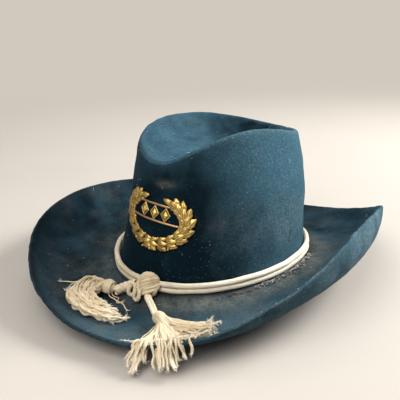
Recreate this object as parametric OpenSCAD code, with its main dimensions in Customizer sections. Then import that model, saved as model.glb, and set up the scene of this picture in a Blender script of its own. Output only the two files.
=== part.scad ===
// Felt cowboy hat with a double cord band, slide knot, two tassels and a wreath badge.
// Frame: Z up, Z = 0 is the plane the brim rests on, the origin is under the centre of the
// head opening, the front of the hat faces -Y and the wearer's left is +X.
// Angles round the hat (ang) run from the front and grow towards the wearer's left.
// The left tassel is on the -X side and the left clutch on the +X side.

/* [Head oval] */
// Half length of the crown's outer oval at the brim break, front to back
oval_a = 101.1; // [94:0.1:108]
// Half width of the crown's outer oval at the brim break
oval_b = 89.5; // [83:0.1:96]
// How much lower the brim break is at the front and back than at the sides, halved
break_dip = 2.9; // [0:0.1:4]

/* [Brim] */
// Mean width of the brim, measured along the felt
brim_w = 96.1; // [80:0.1:105]
// Extra brim width at the front (taken off at the back)
brim_w_front = -0.7; // [-4:0.1:4]
// Extra brim width at front and back (taken off at the sides)
brim_w_ends = -3.3; // [-6:0.1:6]
// Mean slope of the brim where it leaves the crown, degrees
slope_mean = -11.0; // [-14:0.1:-5]
// Extra start slope at front and back
slope_ends = -8.2; // [-10:0.1:0]
// Extra start slope at the front
slope_front = -0.4; // [-3:0.1:3]
// Extra start slope on the wearer's left
slope_left = 0.8; // [-3:0.1:3]
// Diagonal part of the start slope
slope_diag = -2.2; // [-4:0.1:4]
// Mean upward curl of the brim from crown to edge, degrees
curl_mean = 80.3; // [60:0.1:85]
// Extra curl at the front
curl_front = 5.2; // [-8:0.1:8]
// Extra curl at front and back, negative to flatten them
curl_ends = -23.6; // [-30:0.1:0]
// Three-lobed part of the curl
curl_three = 2.7; // [-4:0.1:4]
// Four-lobed part of the curl
curl_four = -2.0; // [-4:0.1:4]
// Extra curl on the wearer's left
curl_left = 11.5; // [-12:0.1:12]
// Diagonal part of the curl
curl_diag = -1.1; // [-4:0.1:4]
// Three-lobed part of the curl on the wearer's left
curl_left_three = -11.1; // [-12:0.1:12]

/* [Crown ridge] */
// Half length of the ridge that runs round the top of the crown
ridge_a = 83; // [76:0.1:88]
// Half width of the ridge
ridge_b = 71.8; // [66:0.1:76]
// How far the ridge sits behind the head opening's centre
ridge_back = 8.5; // [0:0.1:12]
// Narrowing of the ridge towards the front
ridge_egg = -0.147; // [-0.2:0.001:0]
// Mean height of the ridge above the head opening's mean level
ridge_h = 120.2; // [105:0.1:130]
// Extra ridge height at the front
ridge_front = -1.7; // [-5:0.1:5]
// Extra ridge height at front and back
ridge_ends = -7.2; // [-10:0.1:0]
// Three-lobed part of the ridge height
ridge_three = -2.6; // [-4:0.1:4]
// Four-lobed part of the ridge height
ridge_four = -1.0; // [-3:0.1:3]
// Extra ridge height on the wearer's left
ridge_left = 1.2; // [-4:0.1:4]
// Diagonal part of the ridge height
ridge_diag = 5.1; // [-6:0.1:6]

/* [Crown wall and dent] */
// How far the shoulder stands outside the ridge
shoulder_out = 4.0; // [2:0.1:7]
// How far the shoulder lies under the ridge
shoulder_drop = 13.9; // [9:0.1:16]
// Bulge of the lower wall
bulge_low = -0.3; // [-2:0.1:3]
// Bulge of the upper wall
bulge_high = 2.5; // [0:0.1:4]
// Depth of the pinch in the front wall
pinch = 3.5; // [0:0.1:6]
// Height of the dent's floor above the head opening's mean level
dent_h = 103.3; // [96:0.1:106]
// Width of the rolled edge on the dent side of the ridge
roll_in = 10; // [8:0.1:12]
// Drop of the rolled edge on the dent side of the ridge
roll_drop = 7; // [5:0.1:9]

/* [Felt, leather and lining] */
// Thickness of the felt
felt_t = 2.6; // [2:0.1:3]
// Thickness of the leather sweatband
sweat_t = 1.2; // [0.8:0.1:1.4]
// Gap between the felt and the sweatband, which takes the lining's lower edge
sweat_gap = 1.1; // [1:0.1:1.5]
// Thickness of the lining cloth
lining_t = 0.5; // [0.3:0.1:0.5]
// Radius of the reed in the sweatband's lower edge
reed_r = 0.9; // [0.6:0.1:1]
// Number of stitches that hold the sweatband
stitch_n = 72; // [36:2:90]

/* [Cord band] */
// Radius of each of the two cords
cord_r = 2.4; // [2:0.05:2.5]
// Gap between the cords and the crown
cord_gap = 0.5; // [0.4:0.05:1]
// Half width of the slide knot
knot_r = 11; // [10:0.1:12]
// Half depth of the slide knot
knot_d = 6.6; // [6:0.1:7]

/* [Tassels] */
// Radius of a tassel's bound head
head_r = 4.6; // [4:0.1:5]
// Thickness of the fringe at its middle, tassel on the -X side
fringe_left_t = 12; // [8:0.5:14]
// Thickness of the fringe at its middle, tassel on the +X side
fringe_right_t = 8; // [6:0.5:9]

/* [Badge] */
// Half width of the wreath's middle line
wreath_x = 31.5; // [28:0.1:33]
// Half height of the wreath's middle line
wreath_z = 20.5; // [18:0.1:22]
// Widest half breadth of a branch
branch_w = 6.2; // [5:0.1:7]
// Height of the badge's centre above the head opening's mean level
badge_h = 57.3; // [54:0.1:60]
// How far the badge is turned on the crown, degrees
badge_turn = -4; // [-8:0.5:8]
// Radius of the two fastening posts
post_r = 0.55; // [0.4:0.05:0.8]
// Length of the posts behind the badge
post_len = 16; // [14:0.5:18]
// Radius of the clutches pushed on the posts
clutch_r = 5; // [4:0.5:5.5]

/* [Hidden] */
UP = [0, 0, 1];
ring_n = 64;      // columns round the hat
brim_steps = 24;  // steps that add up the brim's section
ring_angles = [for (i = [0:ring_n - 1]) i * 360 / ring_n];
// Felt rows on the brim, as fractions of its width, from the edge in
brim_rows = [1, 0.95, 0.88, 0.8, 0.71, 0.62, 0.53, 0.44, 0.35, 0.25, 0.14, 0.05];
// Felt rows on the crown, as levels: 0 at the brim break, 5 on the ridge, 9 near the dent's centre
crown_rows = [0, 0.5, 1, 1.5, 2, 2.5, 3, 3.5, 4, 4.33, 4.67, 5, 5.33, 5.67, 6,
              6.5, 7, 7.5, 8, 8.5, 9];

function unit(v) = v / norm(v);
function lerp(from, to, part) = from + (to - from) * part;
function flat(rows) = [for (row = rows) each row];

// ---- brim ----
function start_slope(ang) = slope_mean + slope_front * cos(ang) + slope_ends * cos(2 * ang)
    + slope_left * sin(ang) + slope_diag * sin(2 * ang);
function curl(ang) = curl_mean + curl_front * cos(ang) + curl_ends * cos(2 * ang)
    + curl_three * cos(3 * ang) + curl_four * cos(4 * ang)
    + curl_left * sin(ang) + curl_diag * sin(2 * ang) + curl_left_three * sin(3 * ang);
function width(ang) = brim_w + brim_w_front * cos(ang) + brim_w_ends * cos(2 * ang);
function slope(ang, frac) = start_slope(ang) + curl(ang) * frac * frac;
// outward normal of the head oval in plan
function oval_n(ang) = unit([sin(ang) / oval_b, -cos(ang) / oval_a, 0]);
// [distance out, height] of the brim's section at a fraction of its width
function section(ang, frac) = let (step = frac / brim_steps, len = width(ang) * step)
    [for (i = 0, out = 0, z = 0; i <= brim_steps;
          out = out + len * cos(slope(ang, (i + 0.5) * step)),
          z = z + len * sin(slope(ang, (i + 0.5) * step)),
          i = i + 1) [out, z]][brim_steps];
// the brim break, where the crown's wall begins, above the opening's mean level
function break_raw(ang) = [oval_b * sin(ang), -oval_a * cos(ang), -break_dip * cos(2 * ang)];
function brim_raw(ang, frac) = let (sec = section(ang, frac))
    break_raw(ang) + sec[1] * UP + oval_n(ang) * sec[0];
lowest = min([for (ang = [0:10:350], frac = [0.1:0.06:1]) brim_raw(ang, frac)[2]]);
// height of the opening's mean level that sets the felt's underside on z = 0
base_z = felt_t - 0.01 - lowest;
function brim(ang, frac) = brim_raw(ang, frac) + base_z * UP;
function break_pt(ang) = break_raw(ang) + base_z * UP;
function brim_n(ang, frac) = unit(cross(brim(ang, frac + 0.01) - brim(ang, frac - 0.01),
                                        brim(ang + 0.5, frac) - brim(ang - 0.5, frac)));
// a point at a height above the brim's upper face
function on_brim(ang, frac, height) = brim(ang, frac) + brim_n(ang, frac) * height;

// ---- crown ----
function ridge(ang) = [
    ridge_b * sin(ang) * (1 + ridge_egg * cos(ang)),
    ridge_back - ridge_a * cos(ang),
    base_z + ridge_h + ridge_front * cos(ang) + ridge_ends * cos(2 * ang)
    + ridge_three * cos(3 * ang) + ridge_four * cos(4 * ang)
    + ridge_left * sin(ang) + ridge_diag * sin(2 * ang)];
function ridge_n(ang) = unit([ridge_a * sin(ang),
                              -ridge_b * (cos(ang) + ridge_egg * cos(2 * ang)), 0]);
dent = [0, 4, base_z + dent_h];
// bell curve round the hat for the pinch, centred pinch_ang from the front
pinch_ang = 6;
pinch_spread = 580;
function pinch_at(ang) = let (off = ((ang - pinch_ang + 540) % 360) - 180)
    exp(-off * off / pinch_spread);
// control points of the crown's section: up from the break, over the ridge, into the dent;
// the cos and sin terms lean the wall and shoulder to the front and sides
function control(ang) = let (
    foot = break_pt(ang), top = ridge(ang), out = ridge_n(ang),
    to_dent = [dent[0] - top[0], dent[1] - top[1], 0],
    inward = unit(to_dent),
    depth = top[2] - dent[2],
    shoulder = top + out * (shoulder_out + 0.6 * cos(ang) - 0.8 * sin(ang))
               - UP * shoulder_drop,
    roll = top + inward * roll_in - UP * min(roll_drop, depth * 0.45 + 1.5),
    // puts the curve exactly on the ridge at level 5
    peak = (6 * top - shoulder - roll) / 4,
    low = lerp(foot, shoulder, 0.33) + out * (bulge_low - 0.85 * cos(ang) + 1.1 * sin(ang)),
    high = lerp(foot, shoulder, 0.70)
           + out * (bulge_high - cos(ang) + 2.1 * sin(ang) - pinch * pinch_at(ang)),
    slope_in = top + to_dent * 0.36 - UP * depth * 0.70,
    floor_in = top + to_dent * 0.66 - UP * depth * 0.96)
    [foot, foot, foot, low, high, shoulder, peak, roll, slope_in, floor_in, dent, dent, dent];
// uniform cubic B-spline
function bspline(knots, level) = let (i = min(floor(level), 9), f = level - i)
    (knots[i] * (1 - f) * (1 - f) * (1 - f)
     + knots[i + 1] * (3 * f * f * f - 6 * f * f + 4)
     + knots[i + 2] * (3 * f + 3 * f * f - 3 * f * f * f + 1)
     + knots[i + 3] * f * f * f) / 6;
function crown(ang, level) = bspline(control(ang), level);
function crown_n(ang, level) = unit(cross(
    crown(ang + 0.5, level) - crown(ang - 0.5, level),
    crown(ang, level + 0.02) - crown(ang, max(level - 0.02, 0.02))));
// a point outside the crown's outer face, or inside it when out is negative
function off_crown(ang, level, out) = crown(ang, level) + crown_n(ang, level) * out;
// level of the wall at height z, closed in on at about 34 mm a level
function wall_level(ang, z, level = 2.2, tries = 6) = tries == 0 ? level
    : wall_level(ang, z, level + (z - crown(ang, level)[2]) / 34, tries - 1);

// ---- solids from grids of points; a grid is a list of columns ----
// triangles of one skin, whose points begin at index first
function skin(cols, rows, spans, first, outer) =
    [for (i = [0:spans - 1], j = [0:rows - 2])
        let (a = first + i * rows + j, b = first + ((i + 1) % cols) * rows + j)
        each outer ? [[a, a + 1, b + 1], [a, b + 1, b]] : [[a, b + 1, a + 1], [a, b, b + 1]]];
// triangles that join the two skins along their first row
function first_rim(cols, rows, spans) = let (o = cols * rows)
    [for (i = [0:spans - 1]) let (a = i * rows, b = ((i + 1) % cols) * rows)
        each [[a, b, o + b], [a, o + b, o + a]]];

// a shell between two grids; closed joins the last column to the first
module shell(outer, inner, closed = true) {
    cols = len(outer);
    rows = len(outer[0]);
    o = cols * rows;
    spans = closed ? cols : cols - 1;
    last_rim = [for (i = [0:spans - 1])
        let (a = i * rows + rows - 1, b = ((i + 1) % cols) * rows + rows - 1)
        each [[a, o + b, b], [a, o + a, o + b]]];
    sides = closed ? [] : [for (j = [0:rows - 2]) let (a = (cols - 1) * rows + j)
        each [[j, o + j, o + j + 1], [j, o + j + 1, j + 1],
              [a, o + a + 1, o + a], [a, a + 1, o + a + 1]]];
    polyhedron(concat(flat(outer), flat(inner)),
        concat(skin(cols, rows, spans, 0, true), skin(cols, rows, spans, o, false),
               first_rim(cols, rows, spans), last_rim, sides));
}
// a cap-like shell whose grids close at one point each
module dome(outer, inner, outer_tip, inner_tip) {
    cols = len(outer);
    rows = len(outer[0]);
    o = cols * rows;
    tips = [for (i = [0:cols - 1])
        let (a = i * rows + rows - 1, b = ((i + 1) % cols) * rows + rows - 1)
        each [[a, 2 * o, b], [o + a, o + b, 2 * o + 1]]];
    polyhedron(concat(flat(outer), flat(inner), [outer_tip, inner_tip]),
        concat(skin(cols, rows, cols, 0, true), skin(cols, rows, cols, o, false),
               first_rim(cols, rows, cols), tips));
}
// a round tube along a path; radius is one number or one for each point,
// and up is a direction the path never takes
module tube(path, radius, sides = 8, closed = false, up = UP) {
    n = len(path);
    rings = [for (i = [0:n - 1]) let (
        before = path[closed ? (i + n - 1) % n : max(i - 1, 0)],
        after = path[closed ? (i + 1) % n : min(i + 1, n - 1)],
        dir = unit(after - before), side = unit(cross(dir, up)), rise = cross(side, dir),
        r = is_list(radius) ? radius[i] : radius)
        [for (k = [0:sides - 1])
            path[i] + (side * cos(k * 360 / sides) + rise * sin(k * 360 / sides)) * r]];
    wall = [for (i = [0:(closed ? n : n - 1) - 1], k = [0:sides - 1])
        let (a = i * sides, b = ((i + 1) % n) * sides, next = (k + 1) % sides)
        each [[a + k, a + next, b + next], [a + k, b + next, b + k]]];
    last = (n - 1) * sides;
    caps = closed ? [] : [for (k = [0:sides - 1]) let (next = (k + 1) % sides)
        each [[k, n * sides, next], [last + k, last + next, n * sides + 1]]];
    polyhedron(concat(flat(rings), closed ? [] : [path[0], path[n - 1]]), concat(wall, caps));
}
// turns +Z onto a direction
module aim(dir) {
    d = unit(dir);
    rotate([0, acos(d[2]), atan2(d[1], d[0])]) children();
}
// a cord piece with round ends
module rod(from, to, r) {
    len = norm(to - from);
    translate(from) aim(to - from) rotate_extrude($fn = 32)
        polygon(concat([[0, -r]], [for (a = [-75:15:0]) [r * cos(a), r * sin(a)]],
                       [for (a = [0:15:75]) [r * cos(a), len + r * sin(a)]], [[0, len + r]]));
}

// ---- felt ----
felt_grid = [for (ang = ring_angles) let (knots = control(ang))
    concat([for (frac = brim_rows) brim(ang, frac)],
           [for (level = crown_rows) bspline(knots, level)])];
last_row = len(felt_grid[0]) - 1;
felt_normals = [for (i = [0:ring_n - 1]) [for (j = [0:last_row])
    let (column = felt_grid[i])
    unit(cross(felt_grid[(i + 1) % ring_n][j] - felt_grid[(i + ring_n - 1) % ring_n][j],
               column[min(j + 1, last_row)] - column[max(j - 1, 0)]))]];
// rows of the felt's grid, moved in from its outer face by depth
function felt_layer(first, last, depth) = [for (i = [0:ring_n - 1])
    [for (j = [first:last]) felt_grid[i][j] - felt_normals[i][j] * depth]];
module felt_body() color([0.10, 0.22, 0.29])
    dome(felt_grid, felt_layer(0, last_row, felt_t), dent, dent - felt_t * UP);

// ---- sweatband ----
// depths of the band's two faces inside the crown's outer face
sweat_outer = felt_t + sweat_gap;
sweat_inner = sweat_outer + sweat_t;
sweat_levels = [0.8, 1.5, 2, 2.35];
// the seam lies over the band at the back
seam_levels = [1.15, 1.5, 2, 2.3];
seam_angles = [177.6, 179.2, 180.8, 182.4];
stitch_ang = 1.1; // angle one stitch spans
function wall_grid(angles, levels, depth) =
    [for (ang = angles) [for (level = levels) off_crown(ang, level, -depth)]];
module sweatband() color([0.42, 0.27, 0.15])
    shell(wall_grid(ring_angles, sweat_levels, sweat_outer),
          wall_grid(ring_angles, sweat_levels, sweat_inner));
module sweatband_reed() color([0.72, 0.60, 0.40])
    tube([for (ang = ring_angles)
              break_pt(ang) - oval_n(ang) * (sweat_outer + sweat_t / 2) + UP * 0.3],
         reed_r, 6, true);
function stitch_pt(ang) = off_crown(ang, 1, -sweat_inner - 0.5);
module sweatband_stitches() color([0.80, 0.74, 0.60])
    for (i = [0:stitch_n - 1])
        let (ang = (i + 0.5) * 360 / stitch_n,
             from = stitch_pt(ang), run = stitch_pt(ang + stitch_ang) - from)
            translate(from) aim(run) cylinder(h = norm(run), r = 0.25, $fn = 16);
module sweatband_seam() color([0.34, 0.21, 0.11])
    shell(wall_grid(seam_angles, seam_levels, sweat_inner + 0.12),
          wall_grid(seam_angles, seam_levels, sweat_inner + 0.6), false);
module sweatband_bow() color([0.25, 0.16, 0.10])
    translate(off_crown(180, 1.35, -sweat_inner - 2)) rotate([90, 0, 0]) {
        linear_extrude(1.2, center = true)
            polygon([[0, 1.2], [6, 3.4], [8.5, 2.2], [8.5, -2.2], [6, -3.4],
                     [0, -1.2], [-6, -3.4], [-8.5, -2.2], [-8.5, 2.2], [-6, 3.4]]);
        cylinder(h = 2, r = 1.9, center = true, $fn = 32);
    }

// ---- lining ----
lining_depth = felt_t + 0.35;
lining_back = lining_depth + lining_t;
// felt rows at levels 2, 4.33 and 4.67
side_first = len(brim_rows) + 4;
side_last = len(brim_rows) + 9;
tip_first = side_last + 1;
module lining_side() color([0.45, 0.33, 0.22])
    shell(felt_layer(side_first, side_last, lining_depth),
          felt_layer(side_first, side_last, lining_back));
module lining_tip() color([0.50, 0.37, 0.25])
    dome(felt_layer(tip_first, last_row, lining_depth),
         felt_layer(tip_first, last_row, lining_back),
         dent - lining_depth * UP, dent - lining_back * UP);

// ---- cord band ----
cord_lower_h = cord_r + 0.45;
cord_upper_h = cord_lower_h + 2 * cord_r + 0.1;
knot_centre = [3, -oval_a - knot_d - 1.3, base_z - break_dip + 9.2];
bight_r = 3.5;
// runs round the crown and leaves a gap at the front for the knot
module cord(height)
    tube([for (i = [0:60]) let (ang = lerp(9, 353, i / 60))
              break_pt(ang) + oval_n(ang) * (cord_r + cord_gap) + UP * height], cord_r);
module cord_lower() color([0.80, 0.74, 0.61]) cord(cord_lower_h);
module cord_upper() color([0.83, 0.77, 0.65]) cord(cord_upper_h);
// a flattened ball, its axis front to back, with shallow ripples
module slide_knot() color([0.74, 0.64, 0.47])
    translate(knot_centre) rotate([90, 0, 0]) rotate_extrude($fn = 48)
        polygon(concat([[0, -knot_d]],
            [for (a = [-80:10:80])
                [knot_r * pow(cos(a), 0.75) * (1 - 0.03 * cos(a * 9)), knot_d * sin(a)]],
            [[0, knot_d]]));
// an upright loop of cord, open at the top, with narrowed ends
module bight(centre, turn)
    tube([for (a = [-40:20:220])
              centre + bight_r * [cos(turn) * cos(a), sin(turn) * cos(a), -sin(a)]],
         [for (a = [-40:20:220]) abs(a - 90) > 120 ? 1.2 : 1.9],
         up = [-sin(turn), cos(turn), 0]);
module knot_bights() color([0.80, 0.72, 0.56]) {
    bight(on_brim(-4.6, 0.18, 7.2), 20);
    bight(on_brim(-0.3, 0.215, 7.0), -8);
}

// ---- tassel legs and heads ----
leg_left_r = 2.4;
leg_right_r = 2.3;
leg_left_start = on_brim(-7.4, 0.10, 7.4);
leg_left_end = on_brim(-11.8, 0.235, 6.6);
head_left_end = on_brim(-17.5, 0.285, 8.0);
leg_right_start = on_brim(5.2, 0.185, 5.8);
leg_right_end = on_brim(13.0, 0.375, 6.2);
head_right_end = on_brim(16.8, 0.465, 6.8);
// a head starts clear of its leg's round end, both by the same length
head_clear = leg_left_r + 0.35;
function head_start(leg_end, head_end) = leg_end + unit(head_end - leg_end) * head_clear;
head_left_start = head_start(leg_left_end, head_left_end);
head_right_start = head_start(leg_right_end, head_right_end);
module leg_left() color([0.78, 0.70, 0.54]) rod(leg_left_start, leg_left_end, leg_left_r);
module leg_right() color([0.80, 0.73, 0.58]) rod(leg_right_start, leg_right_end, leg_right_r);
// an egg-shaped bound head
module head(from, to) translate(from) aim(to - from) rotate_extrude($fn = 40)
    polygon(concat([[0, 0]],
        [for (a = [10:10:170]) [head_r * sin(a) * (0.72 + 0.28 * sin(a / 2)),
                                norm(to - from) * (1 - cos(a)) / 2]],
        [[0, norm(to - from)]]));
module head_left() color([0.79, 0.71, 0.56]) head(head_left_start, head_left_end);
module head_right() color([0.82, 0.75, 0.60]) head(head_right_start, head_right_end);
// three turns of thread round the middle of a head
module binding(from, to) translate(lerp(from, to, 0.55)) aim(to - from)
    for (i = [-1:1]) translate([0, 0, i * 0.95])
        rotate_extrude($fn = 40) translate([head_r + 0.25, 0]) circle(r = 0.45, $fn = 16);
module binding_left() color([0.72, 0.62, 0.44]) binding(head_left_start, head_left_end);
module binding_right() color([0.74, 0.64, 0.46]) binding(head_right_start, head_right_end);

// ---- left fringe: one low mound on the brim ----
mop_cols = 20;
mop_rows = 4;
mop_under = 1.8; // height of its underside
function mop_pt(i, j, height) = let (a = i * 360 / mop_cols, part = j / mop_rows)
    on_brim(-17 + 11.5 * part * cos(a), 0.507 + 0.168 * part * sin(a), height);
function mop_top(i, j) =
    mop_pt(i, j, 2 + fringe_left_t * sqrt(1 - 0.96 * pow(j / mop_rows, 2)));
module fringe_left() color([0.85, 0.76, 0.60])
    dome([for (i = [mop_cols - 1:-1:0]) [for (j = [mop_rows:-1:1]) mop_top(i, j)]],
         [for (i = [mop_cols - 1:-1:0]) [for (j = [mop_rows:-1:1]) mop_pt(i, j, mop_under)]],
         mop_top(0, 0), mop_pt(0, 0, mop_under));

// ---- right fringe: a fan over the brim's edge, and one bundle along the brim ----
fan_n = 8;    // spans across the fan, and along it
fan_edge = 5; // row that reaches the brim's edge
// past the edge, the fan runs out for one unit of reach and then drops
function over_edge(ang, reach) = let (past = reach - 1)
    on_brim(ang, 1, 3.4)
    + oval_n(ang) * (reach < 1 ? 5.5 * reach : 5.5 + 3 * past)
    + UP * (reach < 1 ? 0.8 * reach : 0.8 - 8 * past);
function fan_thick(j) = fringe_right_t * 0.5 * (1 - 0.55 * min(1, j / fan_edge));
function fan(i, j) = let (
    across = i / fan_n, along = min(1, j / fan_edge),
    ang = lerp(lerp(18.2, 19.4, across), lerp(15, 28.4, across), along))
    j <= fan_edge ? on_brim(ang, lerp(0.52, 1, along), 2.2 + fan_thick(j))
                  : over_edge(ang, (j - fan_edge) * 0.62);
function fan_normal(i, j) = unit(cross(fan(i, min(j + 1, fan_n)) - fan(i, max(j - 1, 0)),
                                       fan(i + 1, j) - fan(i - 1, j)));
// one face of the fan, thinner at its two sides; side is 1 or -1
function fan_face(side) = [for (i = [0:fan_n]) [for (j = [fan_n:-1:0])
    fan(i, j) + side * fan_normal(i, j) * fan_thick(j) * (1 - 0.45 * pow(abs(i - 4) / 4, 4))]];
module fringe_right() color([0.87, 0.79, 0.64]) {
    shell(fan_face(1), fan_face(-1), false);
    tube([for (k = [0:0.125:1])
              on_brim(lerp(21.5, 37, k), lerp(0.47, 0.66, k) - 0.03 * sin(180 * k), 6.6 - 0.8 * k)],
         [for (k = [0:0.125:1]) 3.4 + 1.2 * sin(180 * min(1, k * 1.2))], 10);
}

// ---- badge ----
badge_x = -5;
// angle at which the wall, at height z, is x to the side, closed in on at 1.45 mm a degree
function wall_ang(x, z, ang, tries = 4) = tries == 0 ? ang
    : wall_ang(x, z, ang + (x - crown(ang, wall_level(ang, z))[0]) / 1.45, tries - 1);
// local (x, z) on the badge and a height off the felt, to a point in space
function badge_pt(x, z, off) = let (
    wall_x = badge_x + x * cos(badge_turn) - z * sin(badge_turn),
    wall_z = base_z + badge_h + x * sin(badge_turn) + z * cos(badge_turn),
    ang = wall_ang(wall_x, wall_z, asin(wall_x / 88)))
    off_crown(ang, wall_level(ang, wall_z), off);

// wreath: an oval band from the bottom up both sides, open at the top
wreath_angles = [for (i = [-20:20]) i * 7.4];
// half breadth of a branch, wavy and tapered to a tip
function branch_half(a) = branch_w * (0.78 + 0.16 * cos(a * 16))
    * (abs(a) > 118 ? max(0.12, (150 - abs(a)) / 32) : 1);
// off_mid and off_edge are heights off the felt at a branch's middle and edges
function wreath_grid(off_mid, off_edge) = [for (a = wreath_angles) [for (k = [-1:0.5:1])
    let (out = unit([sin(a) / wreath_x, -cos(a) / wreath_z]),
         at = [wreath_x * sin(a), -wreath_z * cos(a)] + out * branch_half(a) * k)
    badge_pt(at[0], at[1], lerp(off_mid, off_edge, k * k))]];
module badge_wreath() color([0.77, 0.62, 0.30])
    shell(wreath_grid(3.1, 1.6), wreath_grid(0.4, 0.4), false);

// two bowed rails between the branches, with three lozenges standing between them
rail_half = 25.5;
rail_h = 1.6;
rail_bow = 0.6;
function rail_grid(low, off) = [for (i = [-4:4])
    let (x = rail_half * i / 4, z = low + rail_bow * (1 - pow(i / 4, 2)))
    [badge_pt(x, z + rail_h, off), badge_pt(x, z, off)]];
module badge_rails() color([0.66, 0.47, 0.30])
    for (low = [12.2, -2.4]) shell(rail_grid(low, 1.8), rail_grid(low, 0.5), false);

lozenge_x = 3.6;    // half width
lozenge_z = 5.4;    // half height
lozenge_half = 0.5; // half thickness of its rim
lozenge_peak = 1.3; // height of its peak above its middle plane
module lozenge(x, z) {
    centre = badge_pt(x, z, 1.2);
    side = badge_pt(x + 1, z, 1.2) - centre;
    rise = badge_pt(x, z + 1, 1.2) - centre;
    normal = unit(cross(side, rise));
    rim = [side * lozenge_x, rise * lozenge_z, -side * lozenge_x, -rise * lozenge_z];
    polyhedron(
        concat([for (k = [-1, 1], corner = rim) centre + corner + normal * lozenge_half * k],
               [centre + normal * lozenge_peak]),
        concat([[0, 1, 2], [0, 2, 3]],
               [for (i = [0:3]) let (next = (i + 1) % 4)
                   each [[i, 4 + next, next], [i, 4 + i, 4 + next], [4 + i, 8, 4 + next]]]));
}
module badge_lozenges() color([0.72, 0.56, 0.30]) for (x = [-12, 0, 12]) lozenge(x, 6.1);

// the posts run straight back from the wreath through the felt and the lining
clutch_at = 8.6; // distance of a clutch along its post
post_dir = -crown_n(0, wall_level(0, base_z + badge_h));
// side is 1 towards the wearer's left, -1 towards the right
function post_start(side) = badge_pt(side * wreath_x * 0.93, -2, 0.9);
module badge_posts() color([0.72, 0.60, 0.34])
    for (side = [-1, 1])
        translate(post_start(side)) aim(post_dir) cylinder(h = post_len, r = post_r, $fn = 32);
// a shallow drum with a waist, bored for the post
module clutch(side) translate(post_start(side) + post_dir * clutch_at) aim(post_dir) difference() {
    union() {
        cylinder(h = 1.2, r = clutch_r, $fn = 48);
        translate([0, 0, 1.2]) cylinder(h = 2.4, r = clutch_r * 0.62, $fn = 48);
        translate([0, 0, 3.6]) cylinder(h = 1.0, r = clutch_r * 0.8, $fn = 48);
    }
    translate([0, 0, -1]) cylinder(h = 8, r = post_r + 0.06, $fn = 32);
}
module clutch_left() color([0.75, 0.66, 0.42]) clutch(1);
module clutch_right() color([0.75, 0.66, 0.42]) clutch(-1);

felt_body();
sweatband();
sweatband_reed();
sweatband_stitches();
sweatband_seam();
sweatband_bow();
lining_side();
lining_tip();
cord_upper();
cord_lower();
slide_knot();
knot_bights();
leg_left();
head_left();
binding_left();
fringe_left();
leg_right();
head_right();
binding_right();
fringe_right();
badge_wreath();
badge_rails();
badge_lozenges();
badge_posts();
clutch_left();
clutch_right();
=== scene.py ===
"""A blue felt hat with a double cord band, a front knot with two tassels and a wreath badge.

Lengths are in mm and become metres when a mesh is built. +Z is up and the hat faces -Y.
Angles round the hat start at the front (-Y) and grow towards +X, the wearer's left.
Pieces named left and right are as seen from the front: left is -X.
"""
import math
from collections import namedtuple

import bpy
import numpy as np
from mathutils import Matrix, Vector, noise
from mathutils.bvhtree import BVHTree


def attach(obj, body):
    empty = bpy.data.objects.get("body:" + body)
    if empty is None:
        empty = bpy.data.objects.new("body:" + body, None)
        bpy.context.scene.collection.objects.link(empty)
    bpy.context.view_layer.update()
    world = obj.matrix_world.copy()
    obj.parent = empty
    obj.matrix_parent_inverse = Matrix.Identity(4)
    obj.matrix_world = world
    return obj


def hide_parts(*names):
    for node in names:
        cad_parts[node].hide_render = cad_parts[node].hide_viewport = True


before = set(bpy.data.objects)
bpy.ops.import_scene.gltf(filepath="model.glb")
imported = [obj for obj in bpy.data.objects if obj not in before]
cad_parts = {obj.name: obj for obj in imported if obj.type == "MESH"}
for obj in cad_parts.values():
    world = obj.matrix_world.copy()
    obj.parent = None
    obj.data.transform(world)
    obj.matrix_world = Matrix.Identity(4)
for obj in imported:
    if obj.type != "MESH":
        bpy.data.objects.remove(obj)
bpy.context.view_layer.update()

MM = 0.001
TURN = 2 * math.pi
UP = np.array([0.0, 0.0, 1.0])
rng = np.random.default_rng(7)

# ------------------------------------------------------------------ the hat's surface
HEAD_X, HEAD_Y = 89.5, 101.1      # half axes of the head oval, where brim meets crown
DIP = 2.9                         # front and back of the oval lie lower, the sides higher
BASE_Z = 18.2954                  # mean height of the oval
LIFT = 2.59                       # height offset of the shading stations and the fringe ends

# each series: cosine terms from the constant up, then sine terms from the first up
BRIM_SLOPE = ((-11.0, -0.4, -8.2), (0.8, -2.2))                       # degrees, at the crown
BRIM_CURL = ((80.3, 5.2, -23.6, 2.7, -2.0), (11.5, -1.1, -11.1))      # degrees, added at the edge
BRIM_WIDTH = ((96.1, -0.7, -3.3), ())
RIDGE_Z = ((BASE_Z + 120.2, -1.7, -7.2, -2.6, -1.0), (1.2, 5.1))
BRIM_STEPS = 100

RIDGE_X, RIDGE_Y = 71.8, 83       # half axes of the ridge round the top of the crown
RIDGE_BACK, RIDGE_TAPER = 8.5, 0.147
DENT = np.array([0, 4, BASE_Z + 103.3])   # bottom of the hollow in the top


def unit(vectors):
    return vectors / np.linalg.norm(vectors, axis=-1, keepdims=True)


def wave_sum(angle, cosines, sines):
    total = cosines[0]
    for k, size in enumerate(cosines[1:], 1):
        total = total + size * np.cos(k * angle)
    for k, size in enumerate(sines, 1):
        total = total + size * np.sin(k * angle)
    return total


def oval(angle):
    return np.stack([HEAD_X * np.sin(angle), -HEAD_Y * np.cos(angle),
                     BASE_Z - DIP * np.cos(2 * angle)], -1)


def oval_normal(angle):
    return unit(np.stack([np.sin(angle) / HEAD_X, -np.cos(angle) / HEAD_Y, 0 * angle], -1))


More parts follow.
